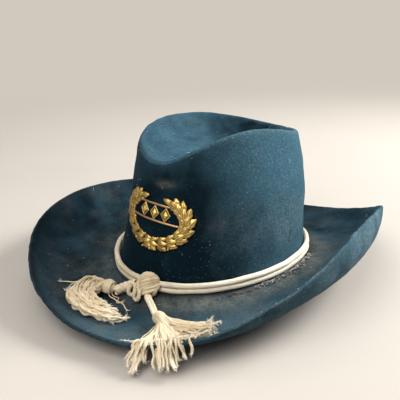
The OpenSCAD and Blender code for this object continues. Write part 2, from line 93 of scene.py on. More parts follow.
def brim(angle, frac):
    """upper face of the brim, shape (angles, fracs, 3); frac is 0 at the crown, 1 at the edge"""
    angle, frac = np.atleast_1d(angle), np.atleast_1d(frac)
    stations = np.linspace(0, 1, BRIM_STEPS + 1)
    middles = (stations[1:] + stations[:-1]) / 2
    pitch = (np.radians(wave_sum(angle, *BRIM_SLOPE))[:, None]
             + np.radians(wave_sum(angle, *BRIM_CURL))[:, None] * middles[None] ** 2)
    step = wave_sum(angle, *BRIM_WIDTH)[:, None] / BRIM_STEPS

    def travelled(share):
        total = np.concatenate([np.zeros((len(angle), 1)), np.cumsum(share * step, 1)], 1)
        return np.stack([np.interp(frac, stations, row) for row in total])[..., None]

    return (oval(angle)[:, None] + oval_normal(angle)[:, None] * travelled(np.cos(pitch))
            + UP * travelled(np.sin(pitch)))


def over_brim(degrees, frac, lift):
    """one point, lift above the brim's upper face"""
    angle, nudge = math.radians(degrees), 0.006
    outer, inner = brim(angle, [min(frac + 0.02, 1.0), max(min(frac, 0.98) - 0.02, 0.0)])[0]
    ahead, behind = brim(np.array([angle + nudge, angle - nudge]), frac)[:, 0]
    return brim(angle, frac)[0, 0] + unit(np.cross(outer - inner, ahead - behind)) * lift


def ridge(angle):
    return np.stack([RIDGE_X * np.sin(angle) * (1 - RIDGE_TAPER * np.cos(angle)),
                     RIDGE_BACK - RIDGE_Y * np.cos(angle), wave_sum(angle, *RIDGE_Z)], -1)


def ridge_normal(angle):
    across = -RIDGE_X * (np.cos(angle) - RIDGE_TAPER * np.cos(2 * angle))
    return unit(np.stack([RIDGE_Y * np.sin(angle), across, 0 * angle], -1))


def crown_controls(angle):
    """spline control points from the head oval up the wall, over the ridge and into the dent"""
    angle = np.atleast_1d(angle)
    cos, sin = np.cos(angle)[:, None], np.sin(angle)[:, None]
    foot, top, out = oval(angle), ridge(angle), ridge_normal(angle)
    inward = DENT - top
    inward[:, 2] = 0
    reach = np.linalg.norm(inward, axis=1, keepdims=True)
    inward = inward / reach
    depth = top[:, 2:3] - DENT[2]
    off_front = np.degrees((angle - math.radians(6) + math.pi) % TURN - math.pi)[:, None]
    pinch = np.exp(-off_front * off_front / 580)
    shoulder = top + out * (4.0 + 0.6 * cos - 0.8 * sin) - UP * 13.9
    inside = top + inward * 10 - UP * np.minimum(7, depth * 0.45 + 1.5)
    crest = (6 * top - shoulder - inside) / 4
    low = foot + (shoulder - foot) * 0.33 + out * (-0.3 - 0.85 * cos + 1.1 * sin)
    high = (foot + (shoulder - foot) * 0.70
            + out * (2.5 - 1.0 * cos + 2.1 * sin - 3.5 * pinch))
    slope = top + inward * reach * 0.36
    slope[:, 2:3] = DENT[2] + depth * 0.30
    hollow = top + inward * reach * 0.66
    hollow[:, 2:3] = DENT[2] + depth * 0.04
    dent = np.broadcast_to(DENT, top.shape)
    return np.stack([foot, foot, foot, low, high, shoulder, crest, inside, slope, hollow,
                     dent, dent, dent])


def crown(angle, station):
    """outer face of the crown, shape (angles, stations, 3); station runs from 0 to 10"""
    ctrl = crown_controls(angle)
    out = []
    for x in np.atleast_1d(station):
        i = min(int(x), 9)
        f = x - i
        out.append((ctrl[i] * (1 - f) ** 3 + ctrl[i + 1] * (3 * f ** 3 - 6 * f * f + 4)
                    + ctrl[i + 2] * (3 * f + 3 * f * f - 3 * f ** 3 + 1)
                    + ctrl[i + 3] * f ** 3) / 6)
    return np.stack(out, 1)


def crown_normal(angle, station):
    angle, station, nudge = np.atleast_1d(angle), np.atleast_1d(station), 0.006
    around = crown(angle + nudge, station) - crown(angle - nudge, station)
    upward = (crown(angle, np.minimum(station + 0.02, 9.99))
              - crown(angle, np.maximum(station - 0.02, 0.02)))
    return unit(np.cross(around, upward))


# ------------------------------------------------------------------ the badge's plane
BADGE_X, BADGE_Z, BADGE_TILT = -5.0, BASE_Z + 57.3, math.radians(-4)
GRID_ANGLES, GRID_STATIONS = np.radians(np.linspace(-42, 42, 85)), np.linspace(1.2, 4.4, 81)
GRID_MID = (42.0, 40.0)
GRID_PITCH = (1.42, 1.35)         # about the mm per grid step, for the search
GRID_POINTS = crown(GRID_ANGLES, GRID_STATIONS)
GRID_NORMALS = crown_normal(GRID_ANGLES, GRID_STATIONS)


def badge_point(x, z, off):
    """points on the felt's front at badge coordinates x, z, raised by off"""
    x, z, off = np.broadcast_arrays(*(np.asarray(v, float) for v in (x, z, off)))
    cos, sin = math.cos(BADGE_TILT), math.sin(BADGE_TILT)
    goal_x = BADGE_X + x * cos - z * sin
    goal_z = BADGE_Z + x * sin + z * cos
    col, row = (np.full(goal_x.shape, mid) for mid in GRID_MID)

    def sample(grid):
        a = np.clip(col, 0, grid.shape[0] - 1.001)
        b = np.clip(row, 0, grid.shape[1] - 1.001)
        i, j = a.astype(int), b.astype(int)
        part_a, part_b = (a - i)[..., None], (b - j)[..., None]
        return (grid[i, j] * (1 - part_a) * (1 - part_b)
                + grid[i + 1, j] * part_a * (1 - part_b)
                + grid[i, j + 1] * (1 - part_a) * part_b
                + grid[i + 1, j + 1] * part_a * part_b)

    for _ in range(14):
        found = sample(GRID_POINTS)
        col = col + (goal_x - found[..., 0]) / GRID_PITCH[0]
        row = row + (goal_z - found[..., 2]) / GRID_PITCH[1]
    return sample(GRID_POINTS) + unit(sample(GRID_NORMALS)) * off[..., None]


# ------------------------------------------------------------------ mesh helpers
def grid_faces(rows, cols, close_rows=False, close_cols=False, flip=False, start=0):
    i = np.arange(rows if close_rows else rows - 1)
    j = np.arange(cols if close_cols else cols - 1)
    row, col = np.meshgrid(i, j, indexing="ij")
    row2, col2 = (row + 1) % rows, (col + 1) % cols
    quads = np.stack([row * cols + col, row2 * cols + col, row2 * cols + col2,
                      row * cols + col2], -1).reshape(-1, 4) + start
    return quads[:, ::-1] if flip else quads


def strip(first, second, close=False, flip=False):
    """quads between two rows of vertex numbers"""
    first2, second2 = np.roll(first, -1), np.roll(second, -1)
    quads = np.stack([first, first2, second2, second] if flip
                     else [first2, first, second, second2], 1)
    return quads if close else quads[:-1]


def fan(ring, tip, flip=False):
    """triangles from a closed ring to a tip, stored as quads that repeat their first corner"""
    ring2 = np.roll(ring, -1)
    first, second = (ring2, ring) if flip else (ring, ring2)
    return np.stack([first, second, np.full(len(ring), tip), first], 1)


def slab_faces(rows, cols, close_rows=False):
    """skin of a slab made of a top grid followed by a bottom grid"""
    under = rows * cols
    faces = [grid_faces(rows, cols, close_rows),
             grid_faces(rows, cols, close_rows, flip=True, start=under)]
    if not close_rows:
        end = np.arange(cols)
        faces.append(strip(end, end + under, flip=True))
        end = end + under - cols
        faces.append(strip(end, end + under))
    side = np.arange(rows) * cols
    faces.append(strip(side, side + under, close_rows))
    side = side + cols - 1
    faces.append(strip(side, side + under, close_rows, flip=True))
    return np.concatenate(faces)


def rod_faces(rings, sides):
    """skin of a rod; its two end centres follow the rings"""
    ring, count = np.arange(sides), rings * sides
    return np.concatenate([grid_faces(rings, sides, close_cols=True),
                           fan(ring, count, flip=True),
                           fan(ring + count - sides, count + 1)])[:, ::-1]


def path_frames(path):
    """unit tangents and two cross directions carried along a path"""
    along = np.gradient(path, axis=0)
    along /= np.maximum(np.linalg.norm(along, axis=1, keepdims=True), 1e-9)
    side = unit(np.cross(along[0], UP if abs(along[0][2]) < 0.9 else np.array([1.0, 0, 0])))
    sides = [side]
    for tangent in along[1:]:
        side = unit(side - tangent * (side @ tangent))
        sides.append(side)
    sides = np.array(sides)
    return along, sides, np.cross(along, sides)


class Piece:
    """collects parts in mm and turns them into one object"""

    def __init__(self):
        self.points, self.faces, self.attrs, self.count = [], [], {}, 0

    def add(self, points, faces, **attrs):
        points = np.asarray(points, float).reshape(-1, 3)
        self.points.append(points)
        self.faces.append(faces + self.count)
        for key, values in attrs.items():
            values = np.broadcast_to(np.ravel(values), len(points))
            self.attrs.setdefault(key, []).append(values)
        self.count += len(points)

    def tube(self, path, radius, sides=8, lobes=0, depth=0.0, twist=0.0, phase=0.0, **attrs):
        """a cord along path; lobes of some depth turn round it by twist radians per mm"""
        path = np.asarray(path, float)
        rings = len(path)
        _, side, over = path_frames(path)
        steps = np.linalg.norm(np.diff(path, axis=0), axis=1)
        arc = np.concatenate([[0], np.cumsum(steps)])[:, None]
        around = np.arange(sides) / sides * TURN
        radii = np.broadcast_to(radius, (rings,))[:, None] * (
            1 + depth * np.cos(lobes * (around[None] - twist * arc - phase)))
        skin = path[:, None] + radii[..., None] * (
            side[:, None] * np.cos(around)[None, :, None]
            + over[:, None] * np.sin(around)[None, :, None])
        for key, values in attrs.items():
            values = np.broadcast_to(values, (rings,))
            attrs[key] = np.concatenate([np.repeat(values, sides), values[[0, -1]]])
        self.add(np.concatenate([skin.reshape(-1, 3), path[:1], path[-1:]]),
                 rod_faces(rings, sides), **attrs)

    def build(self, name, material, body="hat", node=None, smooth=True):
        points = np.concatenate(self.points) * MM
        quads = np.concatenate(self.faces)
        is_tri = quads[:, 0] == quads[:, 3]
        mesh = bpy.data.meshes.new(name)
        if is_tri.any():
            faces = [q[:3] if tri else q for q, tri in zip(quads.tolist(), is_tri.tolist())]
            mesh.from_pydata([tuple(p) for p in points], [], faces)
            mesh.update()
        else:
            mesh.vertices.add(len(points))
            mesh.vertices.foreach_set("co", points.astype(np.float32).ravel())
            mesh.loops.add(quads.size)
            mesh.loops.foreach_set("vertex_index", quads.astype(np.int32).ravel())
            mesh.polygons.add(len(quads))
            mesh.polygons.foreach_set("loop_start", np.arange(0, quads.size, 4, dtype=np.int32))
            mesh.polygons.foreach_set("loop_total", np.full(len(quads), 4, np.int32))
            mesh.update(calc_edges=True)
        mesh.validate()
        if smooth:
            mesh.polygons.foreach_set("use_smooth", np.ones(len(mesh.polygons), bool))
        for key, parts in self.attrs.items():
            layer = mesh.attributes.new(key, "FLOAT", "POINT")
            layer.data.foreach_set("value", np.concatenate(parts).astype(np.float32))
        made = bpy.data.objects.new(name, mesh)
        bpy.context.scene.collection.objects.link(made)
        mesh.materials.append(material)
        if node:
            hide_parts(node)
        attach(made, body)
        return made


def curve(points, step=0.5):
    """Catmull-Rom line through points, resampled at even steps"""
    knots = np.asarray(points, float)
    knots = np.concatenate([[2 * knots[0] - knots[1]], knots, [2 * knots[-1] - knots[-2]]])
    line = []
    for p0, p1, p2, p3 in zip(knots, knots[1:], knots[2:], knots[3:]):
        for f in np.linspace(0, 1, 24, endpoint=False):
            line.append(0.5 * (2 * p1 + (p2 - p0) * f + (2 * p0 - 5 * p1 + 4 * p2 - p3) * f * f
                               + (3 * p1 - p0 - 3 * p2 + p3) * f ** 3))
    line = np.array(line + [knots[-2]])
    arc = np.concatenate([[0], np.cumsum(np.linalg.norm(np.diff(line, axis=0), axis=1))])
    stops = np.linspace(0, arc[-1], max(4, int(arc[-1] / step)) + 1)
    return np.stack([np.interp(stops, arc, line[:, k]) for k in range(3)], 1)


def closed(path):
    return np.concatenate([path, path[:1]])


def fractal(points, scale, seed):
    shift = Vector((seed, seed * 1.7, -seed))
    values = [noise.fractal(Vector(p) * scale + shift, 0.6, 2.0, 3)
              for p in points.reshape(-1, 3)]
    return np.array(values).reshape(points.shape[:-1])


def bell(x, width, at=0.0):
    return np.exp(-((x - at) / width) ** 2)


def rise(x, start, end):
    """0 at start, 1 at end, held beyond both; start may be the larger"""
    return np.clip((x - start) / (end - start), 0, 1)


# ------------------------------------------------------------------ materials
class Material:
    def __init__(self, name):
        self.made = bpy.data.materials.new(name)
        self.made.use_nodes = True
        self.tree = self.made.node_tree
        self.tree.nodes.clear()
        self.output = self.tree.nodes.new("ShaderNodeOutputMaterial")
        self.shader = self.tree.nodes.new("ShaderNodeBsdfPrincipled")
        self.link(self.shader.outputs[0], self.output.inputs[0])
        self.place = self.tree.nodes.new("ShaderNodeTexCoord").outputs["Object"]

    def link(self, source, target):
        self.tree.links.new(source, target)

    def feed(self, socket, value):
        if isinstance(value, bpy.types.NodeSocket):
            self.link(value, socket)
        elif socket.type == "RGBA" and len(value) == 3:
            socket.default_value = (*value, 1)
        else:
            socket.default_value = value

    def node(self, kind, settings=(), **inputs):
        """underscores in input names stand for spaces"""
        node = self.tree.nodes.new("ShaderNode" + kind)
        for key, value in settings:
            setattr(node, key, value)
        for key, value in inputs.items():
            self.feed(node.inputs[key.replace("_", " ")], value)
        return node

    def noise(self, scale, detail, rough):
        return self.node("TexNoise", Scale=scale, Detail=detail, Roughness=rough,
                         Vector=self.place).outputs[0]

    def math(self, operation, a, b, clamp=False):
        node = self.node("Math", [("operation", operation), ("use_clamp", clamp)])
        self.feed(node.inputs[0], a)
        self.feed(node.inputs[1], b)
        return node.outputs[0]

    def times(self, a, b, clamp=False):
        return self.math("MULTIPLY", a, b, clamp)

    def plus(self, a, b, clamp=False):
        return self.math("ADD", a, b, clamp)

    def ramp(self, factor, *stops):
        """stops are (position, grey or colour)"""
        node = self.node("ValToRGB", Fac=factor)
        elements = node.color_ramp.elements
        while len(elements) < len(stops):
            elements.new(0.5)
        for element, (position, colour) in zip(elements, stops):
            element.position = position
            element.color = (*(colour if isinstance(colour, tuple) else (colour,) * 3), 1)
        return node.outputs[0]

    def step(self, factor, zero, one):
        return self.ramp(factor, (zero, 0), (one, 1))

    def mix(self, factor, a, b):
        node = self.node("Mix", [("data_type", "RGBA")])
        for index, value in ((0, factor), (6, a), (7, b)):
            self.feed(node.inputs[index], value)
        return node.outputs[2]

    def attr(self, name):
        return self.node("Attribute", [("attribute_name", name)]).outputs["Fac"]

    def bump(self, height, strength, distance, **normal):
        return self.node("Bump", Height=height, Strength=strength, Distance=distance,
                         **normal).outputs[0]

    def finish(self, **inputs):
        for key, value in inputs.items():
            self.feed(self.shader.inputs[key.replace("_", " ")], value)
        return self.made


def felt_material():
    mat = Material("felt_wool")
    cloud = mat.noise(scale=14, detail=4, rough=0.6)
    mottle = mat.noise(scale=70, detail=4, rough=0.6)
    fine = mat.noise(scale=900, detail=3, rough=0.7)
    fibre = mat.noise(scale=2600, detail=2, rough=0.6)
    base = mat.ramp(mat.plus(mat.times(cloud, 0.45), mat.times(mottle, 0.55)),
                    (0.30, (0.0060, 0.0240, 0.0390)),
                    (0.50, (0.0105, 0.0380, 0.0600)),
                    (0.70, (0.0180, 0.0580, 0.0880)))
    # painted light and shade: this mark moves the felt from a near-black shaded colour to a pale
    # lit colour, over some real nap variation
    nap = mat.attr("nap")
    base = mat.mix(nap, mat.mix(0.85, base, (0.0016, 0.0058, 0.0095)),
                   mat.mix(0.80, base, (0.072, 0.175, 0.245)))
    # speckle: noise, pale range, its gain with the painted light mark and its floor, pale colour,
    # dark range, its amount, dark colour
    grain = mat.noise(scale=520, detail=4, rough=0.75)
    for speck, pale_range, gain, floor, pale, dark_range, amount, dark in (
            (fine, (0.42, 0.75), 0.36, 0.008, (0.070, 0.150, 0.195),
             (0.60, 0.34), 0.35, (0.003, 0.011, 0.018)),
            (grain, (0.48, 0.70), 0.46, 0.012, (0.100, 0.185, 0.230),
             (0.48, 0.34), 0.40, (0.002, 0.008, 0.013))):
        share = mat.plus(mat.times(nap, gain), floor)
        base = mat.mix(mat.times(mat.step(speck, *pale_range), share), base, pale)
        base = mat.mix(mat.times(mat.step(speck, *dark_range), amount), base, dark)
    # dust, wear and the dark mark, which on the felt is painted shade, lie where the mesh
    # attributes say, the first two broken up by noise
    powder = mat.noise(scale=330, detail=4, rough=0.7)
    broken = mat.ramp(mat.plus(mat.times(mottle, 0.5), mat.times(powder, 0.5)),
                      (0.38, 0.15), (0.62, 1))
    base = mat.mix(mat.times(mat.attr("dust"), broken, clamp=True), base, (0.150, 0.150, 0.125))
    broken = mat.step(mat.noise(scale=420, detail=3, rough=0.7), zero=0.40, one=0.60)
    base = mat.mix(mat.times(mat.attr("wear"), broken, clamp=True), base, (0.170, 0.225, 0.250))
    # painted shade: darkens the felt in the slit's groove, on the brim under the cord and along
    # the front rim's edge
    base = mat.mix(mat.attr("soil"), base, (0.020, 0.016, 0.012))
    # lint specks: scale, size in cells, colour
    for scale, size, colour in ((420, 0.10, (0.32, 0.40, 0.43)), (190, 0.055, (0.50, 0.55, 0.55))):
        cells = mat.node("TexVoronoi", Scale=scale, Vector=mat.place, Randomness=1.0)
        speck = mat.math("LESS_THAN", cells.outputs["Distance"], size)
        region = mat.step(mat.noise(scale=9, detail=2, rough=0.5), zero=0.42, one=0.60)
        chance = mat.node("SeparateColor", Color=cells.outputs["Color"]).outputs[0]
        speck = mat.times(mat.times(speck, region), mat.math("GREATER_THAN", chance, 0.45))
        base = mat.mix(mat.times(speck, 0.6), base, colour)
    normal = mat.bump(mottle, strength=0.25, distance=0.0012)
    normal = mat.bump(fine, strength=0.55, distance=0.0006, Normal=normal)
    normal = mat.bump(fibre, strength=0.5, distance=0.0003, Normal=normal)
    return mat.finish(Base_Color=base, Roughness=0.92, Normal=normal, Sheen_Weight=0.05,
                      Sheen_Roughness=0.30, Sheen_Tint=(0.50, 0.80, 1.0),
                      Specular_IOR_Level=0.02)


def cord_material(name, colour, colour2, dirt, scale=1.0, sheen=0.25):
    mat = Material(name)
    broad = mat.noise(scale=35 * scale, detail=3, rough=0.6)
    fine = mat.noise(scale=1500, detail=3, rough=0.7)
    stain = mat.noise(scale=150, detail=4, rough=0.65)
    base = mat.mix(mat.step(broad, zero=0.35, one=0.65), colour, colour2)
    base = mat.mix(mat.times(mat.step(stain, zero=0.50, one=0.72), dirt),
                   base, (0.30, 0.20, 0.10))
    base = mat.mix(mat.times(mat.ramp(fine, (0.35, 1), (0.60, 0)), 0.22),
                   base, (0.32, 0.24, 0.14))
    base = mat.mix(mat.attr("soil"), base, (0.36, 0.22, 0.10))
    # the pale mark is painted light on the band cords, and paler tones and frayed ends on the
    # yarns
    base = mat.mix(mat.times(mat.attr("pale"), 0.6, clamp=True), base, (0.90, 0.86, 0.76))
    normal = mat.bump(fine, strength=0.5, distance=0.0002)
    normal = mat.bump(stain, strength=0.3, distance=0.0003, Normal=normal)
    return mat.finish(Base_Color=base, Roughness=0.72, Normal=normal, Sheen_Weight=sheen,
                      Sheen_Roughness=0.5, Specular_IOR_Level=0.25)


def metal_material(name, colour, dark, smoothest=0.22, roughest=0.48):
    mat = Material(name)
    broad = mat.noise(scale=120, detail=4, rough=0.6)
    fine = mat.noise(scale=1400, detail=3, rough=0.6)
    base = mat.mix(mat.step(broad, zero=0.35, one=0.68), colour, tuple(c * 0.72 for c in colour))
    patches = mat.times(mat.step(broad, zero=0.55, one=0.72), 0.25)
    # tarnish in the badge's hollows, with painted shade on the sides and undersides of the rails
    # and on the lozenges' outer walls
    tarnish_and_painted_shade = mat.plus(mat.attr("dark"), patches, clamp=True)
    base = mat.mix(tarnish_and_painted_shade, base, dark)
    rough = mat.plus(mat.times(broad, roughest - smoothest),
                     mat.plus(mat.times(tarnish_and_painted_shade, 0.30), smoothest), clamp=True)
    normal = mat.bump(fine, strength=0.10, distance=0.0002)
    normal = mat.bump(broad, strength=0.15, distance=0.0006, Normal=normal)
    return mat.finish(Base_Color=base, Metallic=0.80, Roughness=rough, Normal=normal)


def leather_material():
    mat = Material("sweat_leather")
    broad = mat.noise(scale=40, detail=4, rough=0.6)
    pores = mat.node("TexVoronoi", [("feature", "DISTANCE_TO_EDGE")],
                     Scale=900, Vector=mat.place).outputs["Distance"]
    base = mat.mix(mat.step(broad, zero=0.35, one=0.70),
                   (0.155, 0.075, 0.033), (0.255, 0.140, 0.066))
    base = mat.mix(mat.attr("dark"), base, (0.050, 0.026, 0.014))
    normal = mat.bump(mat.step(pores, zero=0.0, one=0.12), strength=0.35, distance=0.0003)
    normal = mat.bump(broad, strength=0.3, distance=0.001, Normal=normal)
    return mat.finish(Base_Color=base, Roughness=mat.plus(mat.times(broad, 0.3), 0.32),
                      Normal=normal)


def cloth_material(name, colour, colour2, scale, sheen=0.3, rough=0.6):
    mat = Material(name)
    broad = mat.noise(scale=30, detail=3, rough=0.6)
    threads = [mat.node("TexWave", [("bands_direction", way)], Scale=scale / 6.28,
                        Vector=mat.place).outputs[0] for way in ("DIAGONAL", "Z")]
    weave = mat.math("MAXIMUM", *threads)
    base = mat.mix(mat.step(broad, zero=0.35, one=0.65), colour, colour2)
    base = mat.mix(mat.times(weave, 0.25), base, tuple(min(1, c * 1.5) for c in colour2))
    return mat.finish(Base_Color=base, Roughness=rough, Sheen_Weight=sheen,
                      Normal=mat.bump(weave, strength=0.3, distance=0.0003))


FELT = felt_material()
CORD = cord_material("cord_cotton", (0.66, 0.57, 0.41), (0.74, 0.66, 0.50), dirt=0.35)
KNOT = cord_material("knot_cotton", (0.66, 0.54, 0.35), (0.74, 0.63, 0.44), dirt=0.5)
YARN = cord_material("fringe_yarn", (0.66, 0.53, 0.33), (0.76, 0.65, 0.45), dirt=0.35,
                     scale=2.0, sheen=0.35)
THREAD = cord_material("thread_waxed", (0.50, 0.40, 0.25), (0.58, 0.48, 0.32), dirt=0.4)
DARK_THREAD = cord_material("thread_dark", (0.020, 0.020, 0.022), (0.040, 0.036, 0.032),
                            dirt=0.1)
LINT = cord_material("lint_fibre", (0.62, 0.62, 0.58), (0.75, 0.74, 0.68), dirt=0.1)
BRASS = metal_material("badge_brass", (1.0, 0.70, 0.22), (0.050, 0.022, 0.006),
                       smoothest=0.19, roughest=0.42)
COPPER = metal_material("badge_copper", (0.72, 0.43, 0.22), (0.055, 0.028, 0.014),
                        smoothest=0.28, roughest=0.5)
POST = metal_material("post_brass", (0.72, 0.55, 0.26), (0.08, 0.05, 0.02))
CLUTCH = metal_material("clutch_brass", (0.76, 0.62, 0.33), (0.10, 0.06, 0.03),
                        smoothest=0.18, roughest=0.35)
LEATHER = leather_material()
RIBBON = cloth_material("ribbon", (0.045, 0.028, 0.018), (0.075, 0.045, 0.028), scale=2500)
LINING = cloth_material("lining_satin", (0.20, 0.115, 0.055), (0.27, 0.165, 0.085), scale=2200,
                        sheen=0.4, rough=0.38)
REED = cloth_material("reed", (0.42, 0.30, 0.16), (0.50, 0.37, 0.21), scale=1200,
                      sheen=0.0, rough=0.5)

# ------------------------------------------------------------------ felt body
FELT_THICK = 2.6
# one column of points per angle, closer together at the slit; rows run edge to dent
ANGLES = np.unique(np.concatenate([np.linspace(0, TURN, 300, endpoint=False),
                                   np.radians(np.linspace(84.5, 93.5, 40))]))
BRIM_FRACS = np.concatenate([np.linspace(1, 0.965, 4)[:-1], np.linspace(0.965, 0.03, 58)])
CROWN_STATIONS = np.concatenate([np.linspace(0.75, 4.2, 56)[:-1],
                                 np.linspace(4.2, 6.2, 26)[:-1], np.linspace(6.2, 9.75, 30)])
FOOT = len(BRIM_FRACS)                       # the row where the brim meets the crown
ROWS = FOOT + 1 + len(CROWN_STATIONS)
ROW = np.arange(ROWS)[None]
INNER_ROWS = np.unique(np.concatenate([np.arange(0, FOOT, 2), [FOOT - 1, FOOT, FOOT + 1],
                                       np.arange(FOOT + 2, ROWS, 2), [ROWS - 1]]))


def grid_normals(points):
    around = np.roll(points, -1, 0) - np.roll(points, 1, 0)
    return unit(np.cross(around, np.gradient(points, axis=1)))


def felt_outer():
    """outer face, its normals, heights, slit groove, and noise at three sizes"""
    foot = (crown(ANGLES, [0.0]) + oval_normal(ANGLES)[:, None] * 0.8 + UP * 0.8)
    points = np.concatenate([brim(ANGLES, BRIM_FRACS), foot, crown(ANGLES, CROWN_STATIONS)], 1)
    normals = grid_normals(points)
    broad = fractal(points, 1 / 48.0, seed=3.1)
    small = fractal(points, 1 / 13.0, seed=9.4)
    patch = fractal(points, 1 / 30.0, seed=21.7)
    # uneven surface, calmer under the cord and at the dent, and a wavy edge
    calm = (1 - 0.8 * bell(ROW, width=5.0, at=FOOT)) * rise(ROW, ROWS - 1, ROWS - 11)
    waves = (0.5 * np.sin(ANGLES * 9 + 1.3) + 0.35 * np.sin(ANGLES * 17 + 0.4)
             + 0.25 * np.sin(ANGLES * 31))
    uneven = (0.75 * broad + 0.22 * small) * calm + rise(ROW, 10, 0) * waves[:, None] * 0.55
    points = points + normals * uneven[..., None]
    # ragged cut in the outermost three rows
    ragged = (0.45 * np.sin(ANGLES * 61 + 2 * np.sin(ANGLES * 7))
              + 0.35 * np.sin(ANGLES * 113 + 1.1) + 0.3 * np.sin(ANGLES * 29))
    for j, share in enumerate((0.55, 0.35, 0.12)):
        points[:, j] += oval_normal(ANGLES) * (ragged * share)[:, None]
    # a leaning slit with raised lips in the wall at the wearer's left
    height = points[..., 2] - LIFT
    slit_line = 87.2 + (height - 42.0) * 0.30
    from_slit = np.abs(np.degrees(ANGLES)[:, None] - slit_line) * 1.5
    extent = rise(height, 40.0, 42.0) * rise(height, 53.0, 50.5) * (ROW > FOOT)
    groove = bell(from_slit, width=0.62) * extent
    lip = bell(from_slit, width=0.6, at=1.5) * extent
    points = points + normals * (lip * 0.45 - groove * 1.6)[..., None]
    return points, grid_normals(points), height, groove, broad, small, patch


def felt_shading(height, groove, broad, small, patch):
    """for each attribute: its values on the outer face, the inner face and the cut edge"""
    side = (np.degrees(ANGLES)[:, None] + 180) % 360 - 180
    width = wave_sum(ANGLES, *BRIM_WIDTH)[:, None]
    out = np.concatenate([BRIM_FRACS, np.zeros(ROWS - FOOT)])[None] * width   # mm from the crown
    to_rim = width - out
    on_brim = ROW < FOOT
    on_crown = ~on_brim
    on_top = ROW > FOOT + 62

    def toward(degrees, power=1):
        return np.clip(np.cos(np.radians(side - degrees)), 0, 1) ** power

    left = rise(side, 27, 77) ** 1.35 * rise(side, 178, 112)       # wearer's left
    # painted shadow along the edge of the brim at the front
    front_rim_shadow = on_brim * bell(to_rim, width=7.0) * toward(-12, power=1.5)
    left_rim = on_brim * bell(to_rim, width=6.5) * toward(88, power=1.3)

    dust = on_brim * (0.72 * bell(out, width=12.0, at=13) * (0.45 + 0.55 * toward(55))
                      + 0.17 * (0.5 + broad)
                      + 0.30 * bell(out, width=20.0, at=62) * toward(25))
    dust = dust + on_crown * (0.004 + 0.07 * np.clip(broad * 1.6, 0, 1)
                              * np.clip((np.abs(side - 5) - 22) / 40.0, 0.12, 1))
    # a faint cloud beside the badge, and a patch high on the front
    dust = dust + (on_crown * (height < 100) * 0.24 * np.clip(0.6 + 1.6 * small, 0, 1.2)
                   * bell(side, width=13.0, at=41) * bell(height, width=12.0, at=76))
    dust = dust + (on_crown * (height < 118) * 0.75
                   * bell(side, width=7.0, at=4) * bell(height, width=3.2, at=105))
    dust = dust * (1 - 0.8 * front_rim_shadow)

    # worn: the edge, a line inside it, the ridge, the left rim and the left wall
    wear = (0.6 * rise(ROW, 4.6, 0.6) * (0.55 + 0.45 * np.clip(small * 2, -1, 1))
            * (0.07 + 0.93 * toward(82, power=1.4)))
    wear = wear + (on_brim * bell(to_rim, width=2.2, at=7) * 0.35
                   * np.clip(small * 3 + 0.2, 0, 1) * toward(70))
    wear = wear + (on_crown * bell(ROW, width=4.0, at=FOOT + 66) * 0.28
                   * (0.15 + 0.85 * rise(side, 10, 70)))
    wear = wear + 0.30 * left_rim * np.clip(0.25 + 3.0 * small, 0, 1.2)
    wear = wear + (on_crown * (~on_top) * 0.34 * left * bell(height, width=24.0, at=60)
                   * np.clip(1 + 1.5 * patch, 0.3, 1.3))

    # painted light and shade, over some real nap: pale on the top and the wearer's left where the
    # key lamp falls, dark low on the front and on the right where shade falls
    rel_height = rise(height, 20, 125)
    wall = (-0.05 + 0.27 * rel_height ** 3 + (0.72 + 0.30 * rel_height) * left + 0.13 * patch
            + 0.10 * rise(np.abs(side), 80, 140)
            - 0.16 * bell(side, width=17.0, at=-8) * bell(height, width=17.0, at=98))
    # the top is pale from painted light, with a painted shadow on the inner wall at the back of
    # the dent
    top = (0.62 + 0.25 * patch
           - 0.50 * bell(np.abs(side), width=38.0, at=180) * rise(ROW, FOOT + 66, FOOT + 74))
    flat = (0.10 + 0.50 * toward(66, power=1.6) * np.clip(out / 55.0, 0.15, 1)
            + 0.22 * toward(5, power=3) * rise(out, 40, 80)
            + 0.40 * bell(side, width=34.0, at=100) * rise(out, 36, 66) + 0.16 * patch)
    nap = on_brim * flat * (1 - 0.95 * front_rim_shadow) + on_crown * np.where(on_top, top, wall)
    nap = nap + 0.55 * left_rim
    # painted highlight along the ridge, stronger on the wearer's left
    nap = nap + on_crown * 0.25 * bell(ROW, width=5.0, at=FOOT + 64) * (0.2 + 0.8 * left)

    # painted shade in the slit's groove, on the brim just under the cord, and in the front rim's
    # shadow
    soil = (np.clip(groove * 1.4, 0, 1) + on_brim * 0.35 * bell(out, width=3.0, at=3)
            + 0.30 * front_rim_shadow)

    # the underside is pale, partly painted light, and worn only where it turns up at the wearer's
    # left
    turned = (on_brim * toward(108, power=2.6) * rise(out, 14, 60))[:, INNER_ROWS]
    small_in, patch_in = small[:, INNER_ROWS], patch[:, INNER_ROWS]
    left_edge = toward(82, power=1.4)[:, 0]
    edge_wear = np.clip(0.5 + np.sin(ANGLES * 23 + 2 * np.sin(ANGLES * 7)), 0, 1.3)
    return {
        "nap": (nap, np.clip(0.24 + turned * (0.66 + 0.5 * patch_in) + 0.15 * small_in, 0, 1),
                0.10 + 0.55 * left_edge),
        "dust": (dust, 0.08 + 0.12 * turned, 0.2 * left_edge),
        "wear": (wear, np.clip(turned * (0.10 + 1.1 * small_in), 0, 0.5),
                 0.08 + 0.30 * left_edge * edge_wear),
        "soil": (soil, 0 * turned, 0 * left_edge),
    }


